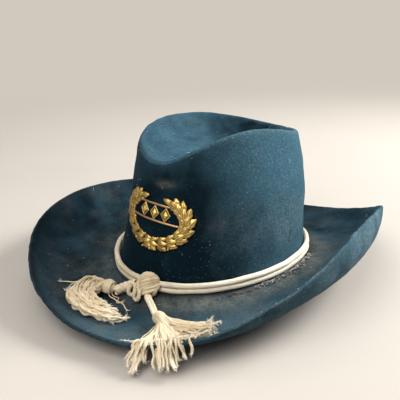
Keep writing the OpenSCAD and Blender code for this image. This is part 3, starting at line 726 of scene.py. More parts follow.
def build_felt():
    outer, normals, *fields = felt_outer()
    inner = outer[:, INNER_ROWS] - normals[:, INNER_ROWS] * FELT_THICK
    cols, in_rows = len(ANGLES), len(INNER_ROWS)
    first_inner = cols * ROWS
    pole = first_inner + cols * in_rows
    # two extra rings round off the cut edge
    outward = unit(outer[:, 0] - outer[:, 3]) * 0.75
    round_over = [outer[:, 0] * share + inner[:, 0] * (1 - share) + outward
                  for share in (0.72, 0.28)]
    points = np.concatenate([outer.reshape(-1, 3), inner.reshape(-1, 3),
                             [DENT, DENT - UP * FELT_THICK], *round_over])
    ring = np.arange(cols)
    rings = [ring * ROWS, pole + 2 + ring, pole + 2 + cols + ring, first_inner + ring * in_rows]
    edge = [np.stack([a, b, np.roll(b, -1), np.roll(a, -1)], 1)
            for a, b in zip(rings, rings[1:])]
    faces = np.concatenate([
        grid_faces(cols, ROWS, close_rows=True),
        grid_faces(cols, in_rows, close_rows=True, flip=True, start=first_inner), *edge,
        fan(ring * ROWS + ROWS - 1, pole),
        fan(first_inner + ring * in_rows + in_rows - 1, pole + 1, flip=True)])
    attrs = {key: np.concatenate([np.clip(out, 0, 1).ravel(), under.ravel(), [0, 0],
                                  np.tile(rim, 2)])
             for key, (out, under, rim) in felt_shading(*fields).items()}
    piece = Piece()
    piece.add(points, faces, **attrs)
    return piece.build("felt_hat_body", FELT, node="felt_body")


felt_mesh = build_felt().data
felt_points = np.zeros(len(felt_mesh.vertices) * 3, np.float32)
felt_mesh.vertices.foreach_get("co", felt_points)
felt_points = felt_points.reshape(-1, 3) / MM
FELT_TREE = BVHTree.FromPolygons([tuple(p) for p in felt_points],
                                 [tuple(p.vertices) for p in felt_mesh.polygons])


def felt_gap(point):
    """a point's height over the nearest felt, and the felt's normal there"""
    spot, normal, _, _ = FELT_TREE.find_nearest(Vector(point))
    return (Vector(point) - spot).dot(normal), normal


def felt_below(x, y):
    """height of the felt under a plan position, or None"""
    spot = FELT_TREE.ray_cast(Vector((x, y, 60)), Vector((0, 0, -1)))[0]
    return None if spot is None else spot[2]


def clear_felt(path, gap, passes=2):
    """moves a path's points off the felt by at least gap, then smooths it"""
    moved = []
    for point in path:
        height, normal = felt_gap(point)
        spot = Vector(point)
        if height < gap:
            spot = spot + normal * (gap - height)
        moved.append(tuple(spot))
    moved = np.array(moved)
    for _ in range(passes):
        moved[1:-1] = moved[1:-1] * 0.5 + (moved[:-2] + moved[2:]) * 0.25
    return moved


# ------------------------------------------------------------------ cord band
def build_cord(name, node, height, phase):
    """one of two cords round the crown, open at the front behind the knot"""
    angle = np.radians(np.linspace(6.5, 355.5, 900))
    off = 2.9 + 0.12 * np.sin(angle * 11) + 0.1 * np.sin(angle * 23 + 1)
    rise_z = (height + 0.18 * np.sin(angle * 7 + height)
              + 0.12 * np.sin(angle * 19 + 2 * height))
    line = oval(angle) + oval_normal(angle) * off[:, None] + UP * rise_z[:, None]
    degrees = np.degrees(angle)
    # painted light: the cord is paled where it faces the key lamp at the wearer's left, and a
    # little at 30 degrees
    pale = bell(degrees, width=38, at=80) + 0.35 * bell(degrees, width=20, at=30)
    soil = 0.30 * bell(degrees, width=9, at=345) + 0.15 * bell(degrees, width=8, at=12)
    path = curve(line[::6], 0.42)
    part, stations = np.linspace(0, 1, len(path)), np.linspace(0, 1, len(angle))
    piece = Piece()
    piece.tube(path, 2.45, sides=28, lobes=7, depth=0.030, twist=TURN / 150.0, phase=phase,
               pale=np.clip(np.interp(part, stations, pale), 0, 1),
               soil=np.clip(np.interp(part, stations, soil), 0, 1))
    piece.build(name, CORD, "cord_band", node)


build_cord("band_cord_lower", "cord_lower", height=2.85, phase=0.3)
build_cord("band_cord_upper", "cord_upper", height=7.72, phase=1.9)

# ------------------------------------------------------------------ the knot
KNOT_CENTRE = np.array([3.0, -HEAD_Y - 7.9, BASE_Z - DIP + 7.8])
KNOT_TURN = math.radians(14)
KNOT_FRONT = np.array([math.sin(KNOT_TURN) * 0.96, -math.cos(KNOT_TURN) * 0.96, 0.28])
KNOT_SIDE = np.array([math.cos(KNOT_TURN), math.sin(KNOT_TURN), 0])
KNOT_UP = np.cross(KNOT_FRONT, KNOT_SIDE)
# each leg: its start at the knot, its foot, and the far end of its tassel head
LEFT_TOP, LEFT_FOOT = over_brim(-7.4, .10, 7.4), over_brim(-11.8, .235, 6.6)
LEFT_END = over_brim(-17.5, .285, 8.0)
RIGHT_TOP, RIGHT_FOOT = over_brim(5.2, .185, 5.8), over_brim(13.0, .375, 6.2)
RIGHT_END = over_brim(16.8, .465, 6.8)


def in_knot(x, y, z):
    return KNOT_CENTRE + KNOT_SIDE * x + KNOT_UP * y + KNOT_FRONT * z


def build_knot():
    """plied cords wrapped over a flattened core"""
    piece = Piece()
    around = np.linspace(0, TURN, 28, endpoint=False)
    tilt = np.linspace(-math.pi / 2, math.pi / 2, 15)[1:-1]
    lon, lat = (grid[..., None] for grid in np.meshgrid(around, tilt, indexing="ij"))
    core = in_knot(7.6 * np.cos(lat) * np.cos(lon), 7.6 * np.cos(lat) * np.sin(lon),
                   4.2 * np.sin(lat))
    piece.add(core, grid_faces(len(around), len(tilt), close_rows=True), soil=0.5, pale=0.0)

    def cord(points, radius, soil):
        path = curve(points, 0.45)
        part = np.linspace(0, 1, len(path))
        piece.tube(path, radius * (1 + 0.03 * np.sin(part * 23)), sides=12, lobes=3,
                   depth=0.085, twist=TURN / 9.0, phase=rng.uniform(0, 6),
                   soil=np.clip(soil + 0.15 * np.sin(part * 9 + radius * 40), 0, 1), pale=0.0)

    # arches over the top, outer first: radius, forward place, stain
    for size, front, soil in ((8.4, -2.0, 0.10), (7.6, 1.4, 0.22), (5.2, 3.9, 0.42)):
        cord([in_knot(size * 1.06 * math.cos(a), size * math.sin(a) + 0.6,
                      front - 0.8 * math.cos(2 * a))
              for a in np.radians(np.linspace(-28, 208, 26))], 1.85, soil)
    # cords that climb across the face towards +X
    for w in (-2.6, 0.2, 3.0):
        cord([in_knot(-6.5 + w * 0.4, -4.5 + w, 2.5), in_knot(-3.0, -1.2 + w, 5.6),
              in_knot(1.5, 1.4 + w * 0.9, 6.0), in_knot(6.0, 3.4 + w * 0.7, 3.6),
              in_knot(8.6, 4.2 + w * 0.5, 0.0)], 1.75, 0.30)
    # pairs that cross under the arches and run out to the left leg, then the right
    for w in (-1.35, 1.35):
        cord([in_knot(10.0, w * 0.4, -2.0), in_knot(8.0, -1.8 + w, 2.6),
              in_knot(3.0, -4.0 + w * 1.2, 5.8), in_knot(-2.5, -6.2 + w * 1.2, 5.4),
              in_knot(-7.5, -7.0 + w, 3.0), LEFT_TOP + np.array([1.5, 0, w * 0.8]),
              LEFT_TOP + np.array([-1.0, -0.6, w * 0.6])], 1.9, 0.10)
    for w in (-1.3, 1.3):
        leg = RIGHT_TOP + KNOT_SIDE * w * 0.9
        cord([in_knot(-10.0, 0.5 + w * 0.5, -1.5), in_knot(-7.5, -2.5 + w, 3.0),
              in_knot(-3.0, -4.6 + w, 3.6), in_knot(1.0, -7.4 + w * 0.6, 3.6),
              in_knot(3.6 + w * 0.6, -10.5, 3.2), leg + np.array([-0.5, 0.6, 1.2]),
              leg + np.array([0.6, -0.9, -0.1])], 1.8, 0.08)
    # a short cord down each side
    for x0, y0, x1, y1 in ((-8.2, -3.5, -3.0, -9.0), (8.5, -3.0, 6.0, -8.0)):
        cord([in_knot(x0 * 1.1, y0 + 3.5, -2.0), in_knot(x0, y0, 1.6),
              in_knot((x0 + x1) / 2 * 1.1, (y0 + y1) / 2, 2.4), in_knot(x1, y1, 0.5),
              in_knot(x1 * 0.4, y1 * 1.05, -2.5)], 1.8, 0.15)
    piece.build("knot_woven", KNOT, "cord_band", "slide_knot")


def build_bights():
    """two loops of cord below the knot"""
    piece = Piece()
    for centre, degrees in ((over_brim(-4.6, 0.18, 7.2), 20), (over_brim(-0.3, 0.215, 7.0), -8)):
        turn = math.radians(degrees)
        around = np.radians(np.linspace(-62, 242, 22))
        loop = centre + np.stack([math.cos(turn) * 2.9 * np.cos(around),
                                  math.sin(turn) * 2.9 * np.cos(around),
                                  -3.4 * np.sin(around)], -1)
        ends = np.clip(-np.sin(around), 0, 1)
        loop[:, 1] += ends * 3.5
        loop[:, 2] += ends * 2.5
        piece.tube(clear_felt(curve(loop, 0.4), 1.9), 1.75, sides=12, lobes=3, depth=0.10,
                   twist=TURN / 8.0, soil=0.12, pale=0.2)
    piece.build("knot_bight_loops", KNOT, "cord_band", "knot_bights")


build_knot()
build_bights()


# ------------------------------------------------------------------ legs and tassel heads
def build_rope_leg(top, foot):
    """three strands laid round each other"""
    piece = Piece()
    along = unit(foot - top)
    step = 0.35
    line = curve([top - along * 3.0, top, top * 0.5 + foot * 0.5 + UP * 0.4, foot,
                  foot + along * 1.5], step)
    _, side, over = path_frames(line)
    arc = np.arange(len(line)) * step
    for k in range(3):
        lay = (arc * TURN / 11.0 + k * TURN / 3)[:, None]
        piece.tube(line + (side * np.cos(lay) + over * np.sin(lay)) * 2.25, 2.15, sides=10,
                   lobes=2, depth=0.10, twist=TURN / 3.0, soil=0.12, pale=0.2)
    piece.build("leg_rope_left", KNOT, "leg_l", "leg_left")


def build_twin_leg(top, foot):
    """two cords side by side"""
    piece = Piece()
    along = unit(foot - top)
    side = unit(np.cross(along, UP))
    for sign in (-1, 1):
        path = [top - along * 2.5 + side * sign * 1.1, top + side * sign * 1.35 + UP * 0.3,
                top * 0.5 + foot * 0.5 + side * sign * 1.45 + UP * 0.9,
                foot + side * sign * 1.2, foot + along * 1.5 + side * sign * 0.8]
        piece.tube(curve(path, 0.4), 1.62, sides=14, lobes=3, depth=0.05, twist=TURN / 14.0,
                   phase=sign, soil=0.10, pale=0.1)
    piece.build("leg_cord_right", CORD, "leg_r", "leg_right")


Head = namedtuple("Head", "start along side up length")


def build_head(which, body, foot, end, radius):
    """a ribbed tassel head bound with thread round its middle"""
    along = unit(end - foot)
    start = foot + along * 2.0
    length = np.linalg.norm(end - start) + 1.0
    side = unit(np.cross(along, UP))
    over = np.cross(side, along)
    cols, rows = 96, 26
    around = np.linspace(0, TURN, cols, endpoint=False)[:, None]
    part = np.linspace(0.02, 0.98, rows)
    profile = radius * np.sin(math.pi * part) ** 0.6 * (0.80 + 0.2 * np.sin(math.pi * part / 2))
    radii = profile[None] * (1 + 0.055 * np.cos(14 * around) + 0.02 * np.cos(31 * around))
    skin = start + along * (part * length)[None, :, None] + radii[..., None] * (
        side * np.cos(around)[..., None] + over * np.sin(around)[..., None])
    ring = np.arange(cols) * rows
    piece = Piece()
    piece.add(np.concatenate([skin.reshape(-1, 3), [start], [start + along * length]]),
              np.concatenate([grid_faces(cols, rows, close_rows=True),
                              fan(ring, cols * rows, flip=True),
                              fan(ring + rows - 1, cols * rows + 1)]), soil=0.12, pale=0.1)
    piece.build("tassel_head_" + which, YARN, body, "head_" + which)

    piece = Piece()
    wind = np.linspace(0, TURN * 4.5, 150)
    place = 0.50 + (wind / wind[-1] - 0.5) * 0.24
    off = np.interp(place, part, profile) + 0.35
    wind = wind[:, None]
    path = start + along * (place * length)[:, None] + off[:, None] * (
        side * np.cos(wind) + over * np.sin(wind))
    piece.tube(path, 0.42, sides=7, lobes=2, depth=0.12, twist=TURN / 1.6, soil=0.2, pale=0.0)
    piece.build("tassel_binding_" + which, THREAD, body, "binding_" + which)
    return Head(start, along, side, over, length)


build_rope_leg(LEFT_TOP, LEFT_FOOT)
build_twin_leg(RIGHT_TOP, RIGHT_FOOT)
LEFT_HEAD = build_head("left", "head_l", LEFT_FOOT, LEFT_END, radius=5.6)
RIGHT_HEAD = build_head("right", "head_r", RIGHT_FOOT, RIGHT_END, radius=4.4)


# ------------------------------------------------------------------ fringes
def add_yarn(piece, points, radius, clear=0.0, wave=0.7):
    """a wavy two-ply yarn with a frayed end, kept off the felt"""
    step = 0.85
    line = curve(points, step)
    _, side, over = path_frames(line)
    arc = np.arange(len(line)) * step
    grow = np.clip(arc / arc[-1] * 1.6 - 0.25, 0, 1)[:, None]
    long_wave, short_wave = rng.uniform(9, 15), rng.uniform(5, 8)
    phases = rng.uniform(0, 6.28, 3)
    sway = (np.sin(arc * 6.28 / long_wave + phases[0])
            + 0.35 * np.sin(arc * 6.28 / short_wave + phases[1]))
    heave = 0.7 * np.sin(arc * 6.28 / long_wave + phases[2])
    line = line + grow * wave * (side * sway[:, None] + over * heave[:, None])
    line[:, 2] = np.maximum(line[:, 2], 1.2)
    line = clear_felt(line, clear or radius + 0.30, passes=7)
    part = np.linspace(0, 1, len(line))
    radii = radius * (1 + 0.06 * np.sin(part * 40 + rng.uniform(0, 6)))
    tone = rng.uniform(0, 1)
    piece.tube(line, radii, sides=8, lobes=2, depth=0.20, twist=TURN / rng.uniform(3.4, 4.6),
               phase=rng.uniform(0, 6),
               soil=np.clip(0.34 * (1 - tone) ** 1.5 + 0.18 * (1 - part), 0, 1),
               pale=np.clip(0.20 * tone + 0.55 * rise(part, 0.88, 1.0), 0, 1))
    along = unit(line[-1] - line[-4])
    for _ in range(8):
        stray = unit(along + rng.normal(0, 0.55, 3))
        length = rng.uniform(1.3, 3.8)
        bend = rng.normal(0, 0.5, 3)
        root = line[-1] - along * 0.8 + rng.normal(0, 0.25, 3)
        hair = np.stack([root, root + (along * 0.6 + stray * 0.4) * length * 0.5,
                         root + stray * length + bend * 0.4])
        height, normal = felt_gap(hair[-1])
        least = max(0.5, clear - radius)
        if height < least:
            hair[1:] += np.array(normal) * (least - height)
        path = curve(hair, 1.0)
        piece.tube(path, np.linspace(0.28, 0.10, len(path)), sides=4, soil=0.0, pale=0.9)


def over_head(head, angle, radius):
    """first points of a yarn, along a tassel head and off its far end"""
    spoke = head.side * math.cos(angle) + head.up * math.sin(angle)
    return [head.start + head.along * head.length * part + spoke * (radius * share)
            for part, share in ((0.25, 0.85), (0.55, 1.0), (0.9, 0.92))]


# where the fan's ends lie beyond the rim: x, y, z
FAN_ENDS = np.array([
    (48.5, -194, 4.5), (56, -196.5, 3.2), (65, -195, 3.2), (72, -189, 4.0), (80, -188, 5.0),
    (86, -184, 6.0), (89, -175, 9.0), (91, -166, 12.5), (93, -157, 15.5)], float) + UP * LIFT
FAN_MIDDLE = np.array([72.0, -186.0])
# clumps along that line: from, to, yarns, shortest and longest share of the full length
FAN_CLUMPS = ((0.0, 0.26, 24, 0.80, 1.04), (0.38, 0.72, 34, 0.80, 1.04),
              (0.76, 0.88, 15, 0.78, 1.02), (0.86, 1.0, 17, 0.74, 1.0),
              (0.12, 0.85, 6, 0.50, 0.90))


def add_fan_yarn(piece, place, shortest, longest):
    stations = np.linspace(0, 1, len(FAN_ENDS))
    start = RIGHT_HEAD.start + RIGHT_HEAD.along * RIGHT_HEAD.length
    end = np.array([np.interp(place, stations, FAN_ENDS[:, k]) for k in range(3)])
    if rng.uniform() < 0.75:
        share = rng.uniform(shortest, longest)
    else:
        share = rng.uniform(0.62, 0.85)
    end = start + (end - start) * np.array([share, share, 1])
    end[2] += (1 - share) * 10 + rng.normal(0, 0.8)
    end[:2] += rng.normal(0, 1.0, 2)
    below = felt_below(end[0], end[1])
    if below is not None:
        end[2] = max(end[2], below + rng.uniform(1.2, 5.0))
    points = over_head(RIGHT_HEAD, math.radians(rng.uniform(-20, 200)), 4.7)
    bow = rng.normal(0, 2.1)
    loft = rng.uniform(2.0, 9.5)
    run = (end - start)[:2]
    across = np.array([run[1], -run[0]]) / np.linalg.norm(run)
    phase, wiggle = rng.uniform(0, 6.28), rng.uniform(0.2, 0.9)
    middle = FAN_MIDDLE - start[:2]
    last_z, last_part = start[2], 0.0            # where the felt was last underneath
    for part in (0.14, 0.30, 0.46, 0.62, 0.78, 0.92):
        gather = (1 - part ** 0.45) * 0.55
        x, y = (start[:2] + (middle * gather + run * (1 - gather)) * part
                + across * (bow * math.sin(math.pi * part)
                            + wiggle * math.sin(phase + part * 11)))
        below = felt_below(x, y)
        if below is not None:
            z = below + 1.1 + loft * (1 - part) ** 0.8
            last_z, last_part = z, part
        else:
            fall = (part - last_part) / max(1e-6, 1 - last_part)
            z = last_z + (end[2] - last_z) * fall ** 1.25
        points.append(np.array([x, y, z]))
    end[2] = max(end[2], 1.6)
    points.append(end)
    radius = rng.uniform(0.86, 1.12)
    add_yarn(piece, points, radius, clear=radius + 1.1, wave=rng.uniform(0.25, 0.95))


def build_right_fan():
    """yarns that fan out over the rim"""
    piece = Piece()
    for low, high, count, shortest, longest in FAN_CLUMPS:
        for i in range(count):
            place = low + (high - low) * (i + rng.uniform(0.0, 1.0)) / count
            add_fan_yarn(piece, place, shortest, longest)
    piece.build("tassel_fringe_right_fan", YARN, "fringe_r", "fringe_right")


def build_right_bundle():
    """a bundle that lies along the brim towards the wearer's left, and one stray yarn"""
    piece = Piece()
    run = over_brim(33.6, 0.75, 5.0) - over_brim(19.5, 0.50, 6.5)
    run[2] = 0
    run = unit(run)
    across = np.cross(UP, run)
    spine = [(part, over_brim(19.5 + (33.6 - 19.5) * part,
                              0.500 + 0.250 * part - 0.004 * math.sin(math.pi * part),
                              6.6 + 0.7 * math.sin(math.pi * part) - 0.7 * part))
             for part in (0.15, 0.40, 0.65, 0.88, 1.0)]
    for _ in range(46):
        around = rng.uniform(0, TURN)
        off = 6.2 * math.sqrt(rng.uniform(0, 1))
        off_x, off_z = off * math.cos(around), off * math.sin(around) * 0.75
        points = over_head(RIGHT_HEAD, math.radians(rng.uniform(40, 200)), 4.6)
        for part, centre in spine:
            spread = 0.80 + 0.42 * part + 0.06 * math.sin(9 * part)
            points.append(centre + across * off_x * spread * (1 + 0.16 * (part > 0.8))
                          + UP * off_z * spread + rng.normal(0, 0.25, 3))
        points[-1] = (points[-1] + run * rng.uniform(-4.5, 3.5) + across * rng.normal(0, 1.8)
                      + UP * rng.uniform(-0.5, 2.8))
        radius = rng.uniform(0.82, 1.04)
        add_yarn(piece, points, radius, clear=radius + 1.2, wave=0.55)
    stray = over_head(RIGHT_HEAD, 2.2, 4.4) + [
        over_brim(15.5, 0.60, 6), over_brim(13.8, 0.80, 2.2), over_brim(13.2, 0.93, 1.6),
        over_brim(13.0, 1.0, 1.8) + np.array([0, -1.5, 0.5])]
    add_yarn(piece, stray, 0.5, clear=1.9)
    piece.build("tassel_fringe_right_bundle", YARN, "fringe_r", "fringe_right")


def above_felt(x, y, lift):
    below = felt_below(x, y)
    return np.array([x, y, (below if below is not None else 5.0) + lift])


MOP_CENTRE = np.array([-33.0, -138.0])
MOP_YARNS = 106


def build_left_mop():
    """yarns that coil round on the brim"""
    piece = Piece()
    for i in range(MOP_YARNS):
        place = (i + rng.uniform(0, 1)) / MOP_YARNS           # 0 inner, 1 outer
        points = over_head(LEFT_HEAD, math.radians(rng.uniform(-30, 210)), 6.0)
        size = 3.0 + 23.5 * place ** 0.85 + rng.normal(0, 1.1)
        is_long = rng.uniform() < 0.72
        if is_long:
            end = math.radians(rng.uniform(285, 352) - 10 * (1 - place))
        else:
            end = math.radians(rng.uniform(190, 290))
        start = math.radians(124 + rng.normal(0, 9))
        height = 3.0 + 12.0 * (1 - place) ** 0.6 * rng.uniform(0.25, 1.0) + rng.uniform(0, 4.0)
        phases = rng.uniform(0, 6.28, 3)
        wobble = rng.uniform(0.4, 1.7)
        hump = rng.uniform(0, 7.0)
        for part in np.linspace(0, 1, 9):
            around = start + (end - start) * part
            radius = (size + wobble * math.sin(phases[0] + part * 13)
                      + 0.8 * math.sin(phases[1] + part * 29))
            lift = (height * (0.75 + 0.25 * math.sin(math.pi * part)) * (1 - 0.40 * part)
                    + math.sin(phases[2] + part * 17) + hump * bell(part, width=0.16, at=0.16))
            drift = 10.0 * max(0.0, part - 0.55) / 0.45 if is_long else 0.0
            x = (MOP_CENTRE[0] + radius * (1.08 + 0.10 * math.cos(around)) * math.cos(around)
                 + drift)
            y = MOP_CENTRE[1] + radius * 0.82 * math.sin(around)
            points.append(above_felt(x, y, max(1.2, lift)))
        add_yarn(piece, points, rng.uniform(0.84, 1.10), wave=rng.uniform(0.6, 1.5))
    piece.build("tassel_fringe_left_mop", YARN, "fringe_l", "fringe_left")


# loose yarns: angle over the head, radius there, yarn radius, then x, y, lift along the felt
LEFT_STRAYS = (
    (2.6, 5.6, 0.55, ((-52, -119, 8), (-64, -124, 5.5), (-74, -131, 2.2), (-80, -136, 1.4))),
    (2.0, 5.6, 0.5, ((-55, -121, 9), (-66, -128, 4.5), (-70, -134, 2.0), (-66, -142, 1.4))),
    (-0.6, 5.4, 0.5, ((-26, -128, 4), (-15, -128, 2.0), (-6, -131, 1.3), (-1.5, -132.5, 1.1))),
    (0.2, 5.4, 0.5, ((-27, -124, 3), (-19, -124, 2.0), (-17, -130, 1.3), (-12, -127, 1.1))),
)


def build_left_ends():
    """short flicked-out ends round the mop's -X side, and the loose yarns"""
    piece = Piece()
    for _ in range(22):
        root_angle = math.radians(rng.uniform(120, 215))
        points = over_head(LEFT_HEAD, math.radians(rng.uniform(40, 200)), 6.0)
        out = np.array([math.cos(root_angle) * 17, math.sin(root_angle) * 13])
        root = MOP_CENTRE + out
        heading = root_angle + rng.normal(0.1, 0.35)
        length = rng.uniform(6, 14)
        mid, end = (root + np.array([math.cos(a), math.sin(a) * 0.8]) * reach
                    for a, reach in ((heading, length * 0.55), (heading + 0.3, length)))
        for spot, lifts in ((MOP_CENTRE + out * 0.7, (7, 12)), (root, (5, 11)), (mid, (2, 7)),
                            (end, (1.5, 5))):
            points.append(above_felt(*spot, rng.uniform(*lifts)))
        add_yarn(piece, points, rng.uniform(0.72, 0.94), clear=2.0, wave=1.0)
    for angle, head_radius, radius, spots in LEFT_STRAYS:
        points = over_head(LEFT_HEAD, angle, head_radius) + [above_felt(*s) for s in spots]
        add_yarn(piece, points, radius, clear=1.5)
    piece.build("tassel_fringe_left_ends", YARN, "fringe_l", "fringe_left")


build_right_fan()
build_right_bundle()
build_left_mop()
build_left_ends()

# ------------------------------------------------------------------ badge
WREATH_X, WREATH_Z = 31.5, 20.5        # half axes of the wreath's oval
# the three leaves of a group: outward offset, outward turn, length, half width, lift, base
LEAF_GROUP = ((0.8, 0.44, 13.2, 3.7, 1.1, 0.9),
              (-0.8, -0.42, 12.0, 3.3, 0.9, 0.9),
              (0.0, 0.02, 13.5, 3.3, 1.2, 1.8))
STEM = np.array([(13, -20.0), (6, -22.3), (-1, -23.6), (-7.5, -26.2)])    # x, z
# lozenge rings from the outside in: scale, height, darkness; the darkness of the outer wall is
# painted shade, in the inner groove it is tarnish
LOZENGE_RINGS = np.array([
    (1.0, 0.5, 0.8), (1.0, 1.5, 0.6), (0.92, 1.75, 0.15), (0.78, 1.75, 0.1),
    (0.72, 1.35, 0.95), (0.60, 1.35, 0.9), (0.52, 1.9, 0.2), (0.12, 2.6, 0.0)])


def add_leaf(piece, root, angle, length, half_width, lift, base):
    """a pointed leaf with a midrib and side veins, from root along angle"""
    rows, cols = 17, 11
    part, side = np.meshgrid(np.linspace(0, 1, rows), np.linspace(-1, 1, cols), indexing="ij")
    half = (half_width * np.sin(math.pi * part ** 0.80) ** 0.8
            * (1 + 0.09 * np.cos(part * 22)))
    along, across = part * length, side * half
    dome = 1 - side ** 2
    off_rib = np.abs(side) > 0.25
    rib = bell(side, width=0.13) * 0.35 * np.sin(math.pi * np.minimum(part * 1.05, 1))
    groove = bell(np.abs(side), width=0.12, at=0.27) * 0.30
    vein = 0.5 + 0.5 * np.cos((part * 9 - np.abs(side) * 2.2) * TURN)
    height = (base + lift * np.sin(math.pi * part * 0.9)
              + 1.15 * dome * np.sin(math.pi * part) ** 0.6
              + rib - groove - 0.22 * (1 - vein) * dome * off_rib)
    dark = np.clip(groove * 2.8 + 0.45 * (1 - vein) * off_rib + 0.8 * (np.abs(side) > 0.9)
                   + 0.7 * (part < 0.16), 0, 1)
    x = root[0] + along * math.cos(angle) - across * math.sin(angle)
    z = root[1] + along * math.sin(angle) + across * math.cos(angle)
    piece.add(np.stack([badge_point(x, z, height), badge_point(x, z, max(0.45, base - 0.5))]),
              slab_faces(rows, cols)[:, ::-1],
              dark=np.concatenate([dark.ravel(), np.full(dark.size, 0.9)]))


def add_berry(piece, centre, radius):
    around, tilt = np.meshgrid(np.linspace(0, TURN, 14, endpoint=False),
                               np.linspace(0, math.pi / 2, 7), indexing="ij")
    piece.add(badge_point(centre[0] + radius * np.cos(tilt) * np.cos(around),
                          centre[1] + radius * np.cos(tilt) * np.sin(around),
                          1.0 + radius * np.sin(tilt)),
              grid_faces(*around.shape, close_rows=True), dark=0.0)


def wreath_oval(angle):
    """points on the wreath's oval and their outward directions; 0 is the foot"""
    sin, cos = np.sin(angle), np.cos(angle)
    return (np.stack([WREATH_X * sin, -WREATH_Z * cos], -1),
            unit(np.stack([sin / WREATH_X, -cos / WREATH_Z], -1)))


def wreath_heading(angle, sign):
    """direction along the oval, away from the foot, and its angle"""
    along = unit(np.array([WREATH_X * math.cos(angle), WREATH_Z * math.sin(angle)]) * sign)
    return along, math.atan2(along[1], along[0])


def build_wreath():
    piece = Piece()
    # a thin plate under the leaves
    angle = np.radians(np.linspace(-146, 146, 90))
    from_foot = np.abs(np.degrees(angle))
    half = 4.6 * np.where(from_foot > 118, np.clip((150 - from_foot) / 32, 0.15, 1), 1)
    centre, out = wreath_oval(angle)
    across = half[:, None] * np.linspace(-1, 1, 5)
    x = centre[:, :1] + out[:, :1] * across
    z = centre[:, 1:] + out[:, 1:] * across
    piece.add(np.stack([badge_point(x, z, 1.05), badge_point(x, z, 0.45)]),
              slab_faces(*x.shape), dark=0.85)
    for sign in (-1, 1):
        # groups of leaves that overlap towards the tip, with berries on either side
        for i, degrees in enumerate(np.linspace(-3, 133, 9)):
            angle = math.radians(degrees) * sign
            spot, out = wreath_oval(angle)
            along, heading = wreath_heading(angle, sign)
            scale = 1 - 0.12 * abs(degrees - 80) / 60
            tip = 1.0 if degrees < 118 else 0.78
            for off, turn, length, width, lift, base in LEAF_GROUP:
                add_leaf(piece, spot + out * off, heading - sign * turn, length * scale * tip,
                         width * scale, lift, base + 0.03 * i)
            if i % 2 == 0 and i < 8:
                add_berry(piece, spot + out * 5.9 + along * 1.5, 1.15)
            if i % 3 == 1:
                add_berry(piece, spot - out * 4.6 + along * 1.0, 0.95)
        # the leaf at the tip
        angle = math.radians(144) * sign
        add_leaf(piece, wreath_oval(angle)[0], wreath_heading(angle, sign)[1] + sign * 0.15,
                 length=11.0, half_width=2.7, lift=0.9, base=1.5)
        # the stem that crosses its twin at the foot
        part = np.linspace(0, 1, 26)
        stations = [0, .35, .7, 1]
        piece.tube(badge_point(np.interp(part, stations, STEM[:, 0] * sign),
                               np.interp(part, stations, STEM[:, 1]),
                               1.7 + 0.5 * (sign > 0) + 0.3 * np.sin(part * 3)), 0.95, dark=0.15)
    # two small ties where the stems cross
    part = np.linspace(-1, 1, 16)
    for z in (-23.9, -22.6):
        piece.tube(badge_point(part * 2.6, z + 0.25 * part, 2.3 + 0.9 * (1 - part * part)),
                   0.62, dark=0.1)
    piece.build("badge_wreath_leaves", BRASS, node="badge_wreath")


def build_rails():
    """two slightly arched bars across the wreath"""
    piece = Piece()
    half_length, rings, sides = 26.5, 60, 12
    around = np.linspace(0, TURN, sides, endpoint=False)

    def squarish(wave):
        return np.sign(wave) * np.abs(wave) ** 0.6

    for height in (13.0, -1.6):
        x = np.linspace(-half_length, half_length, rings)[:, None]
        z = height + 0.6 * (1 - (x / half_length) ** 2) + 0.85 * squarish(np.cos(around))
        skin = badge_point(x, z, 1.35 + 0.75 * squarish(np.sin(around)))
        # painted shade: the bars' sides and undersides are darker than their outward faces
        shade = np.tile(np.where(np.sin(around) > 0.3, 0.05, 0.6), rings)
        piece.add(np.concatenate([skin.reshape(-1, 3), [skin[0].mean(0)], [skin[-1].mean(0)]]),
                  rod_faces(rings, sides), dark=np.concatenate([shade, [0.5, 0.5]]))
    piece.build("badge_arched_rails", COPPER, node="badge_rails")


def build_lozenges():
    """three diamonds between the rails, each with a rim and a raised middle"""
    piece = Piece()
    per_side, half_x, half_z, centre_z = 10, 5.2, 6.5, 6.0
    outline = []
    for corner in range(4):
        start, end = corner * math.pi / 2, (corner + 1) * math.pi / 2
        for i in range(per_side):
            f = i / per_side
            outline.append(((math.cos(start) * (1 - f) + math.cos(end) * f) * half_x,
                            (math.sin(start) * (1 - f) + math.sin(end) * f) * half_z))
    outline = np.array(outline)
    rings, sides = len(LOZENGE_RINGS), len(outline)
    scale, height, dark = (LOZENGE_RINGS[:, k:k + 1] for k in range(3))
    ring, tip = np.arange(sides), rings * sides
    faces = np.concatenate([grid_faces(rings, sides, close_cols=True),
                            fan(ring + tip - sides, tip), fan(ring, tip + 1, flip=True)])
    for x in (-12, 0, 12):
        skin = badge_point(x + outline[:, 0] * scale, centre_z + outline[:, 1] * scale, height)
        piece.add(np.concatenate([skin.reshape(-1, 3), badge_point([x], centre_z, 2.75),
                                  badge_point([x], centre_z, 0.5)]),
                  faces, dark=np.concatenate([np.repeat(dark, sides), [0, 0.8]]))
    piece.build("badge_plain_lozenges", BRASS, node="badge_lozenges",
                smooth=False)


build_wreath()
build_rails()
build_lozenges()

# ------------------------------------------------------------------ inside the crown
BAND_OUT, BAND_IN = 3.7, 4.9       # depths of the sweatband's faces below the felt's outer face
INSIDE = np.linspace(0, TURN, 260, endpoint=False)


def in_wall(angle, station, depth):
    return crown(angle, station) - crown_normal(angle, station) * depth


def build_shell(name, node, material, angle, station, depths, wobble=0.0, dark=None,
                close=True):
    """a sheet between two depths that follows the crown's wall"""
    shift = crown_normal(angle, station) * np.asarray(wobble)[..., None]
    attrs = {}
    if dark is not None:
        dark = np.broadcast_to(dark, (len(angle), len(station)))
        attrs["dark"] = np.tile(dark.ravel(), 2)
    piece = Piece()
    piece.add(np.stack([in_wall(angle, station, depth) - shift for depth in depths]),
              slab_faces(len(angle), len(station), close), **attrs)
    piece.build(name, material, node=node)


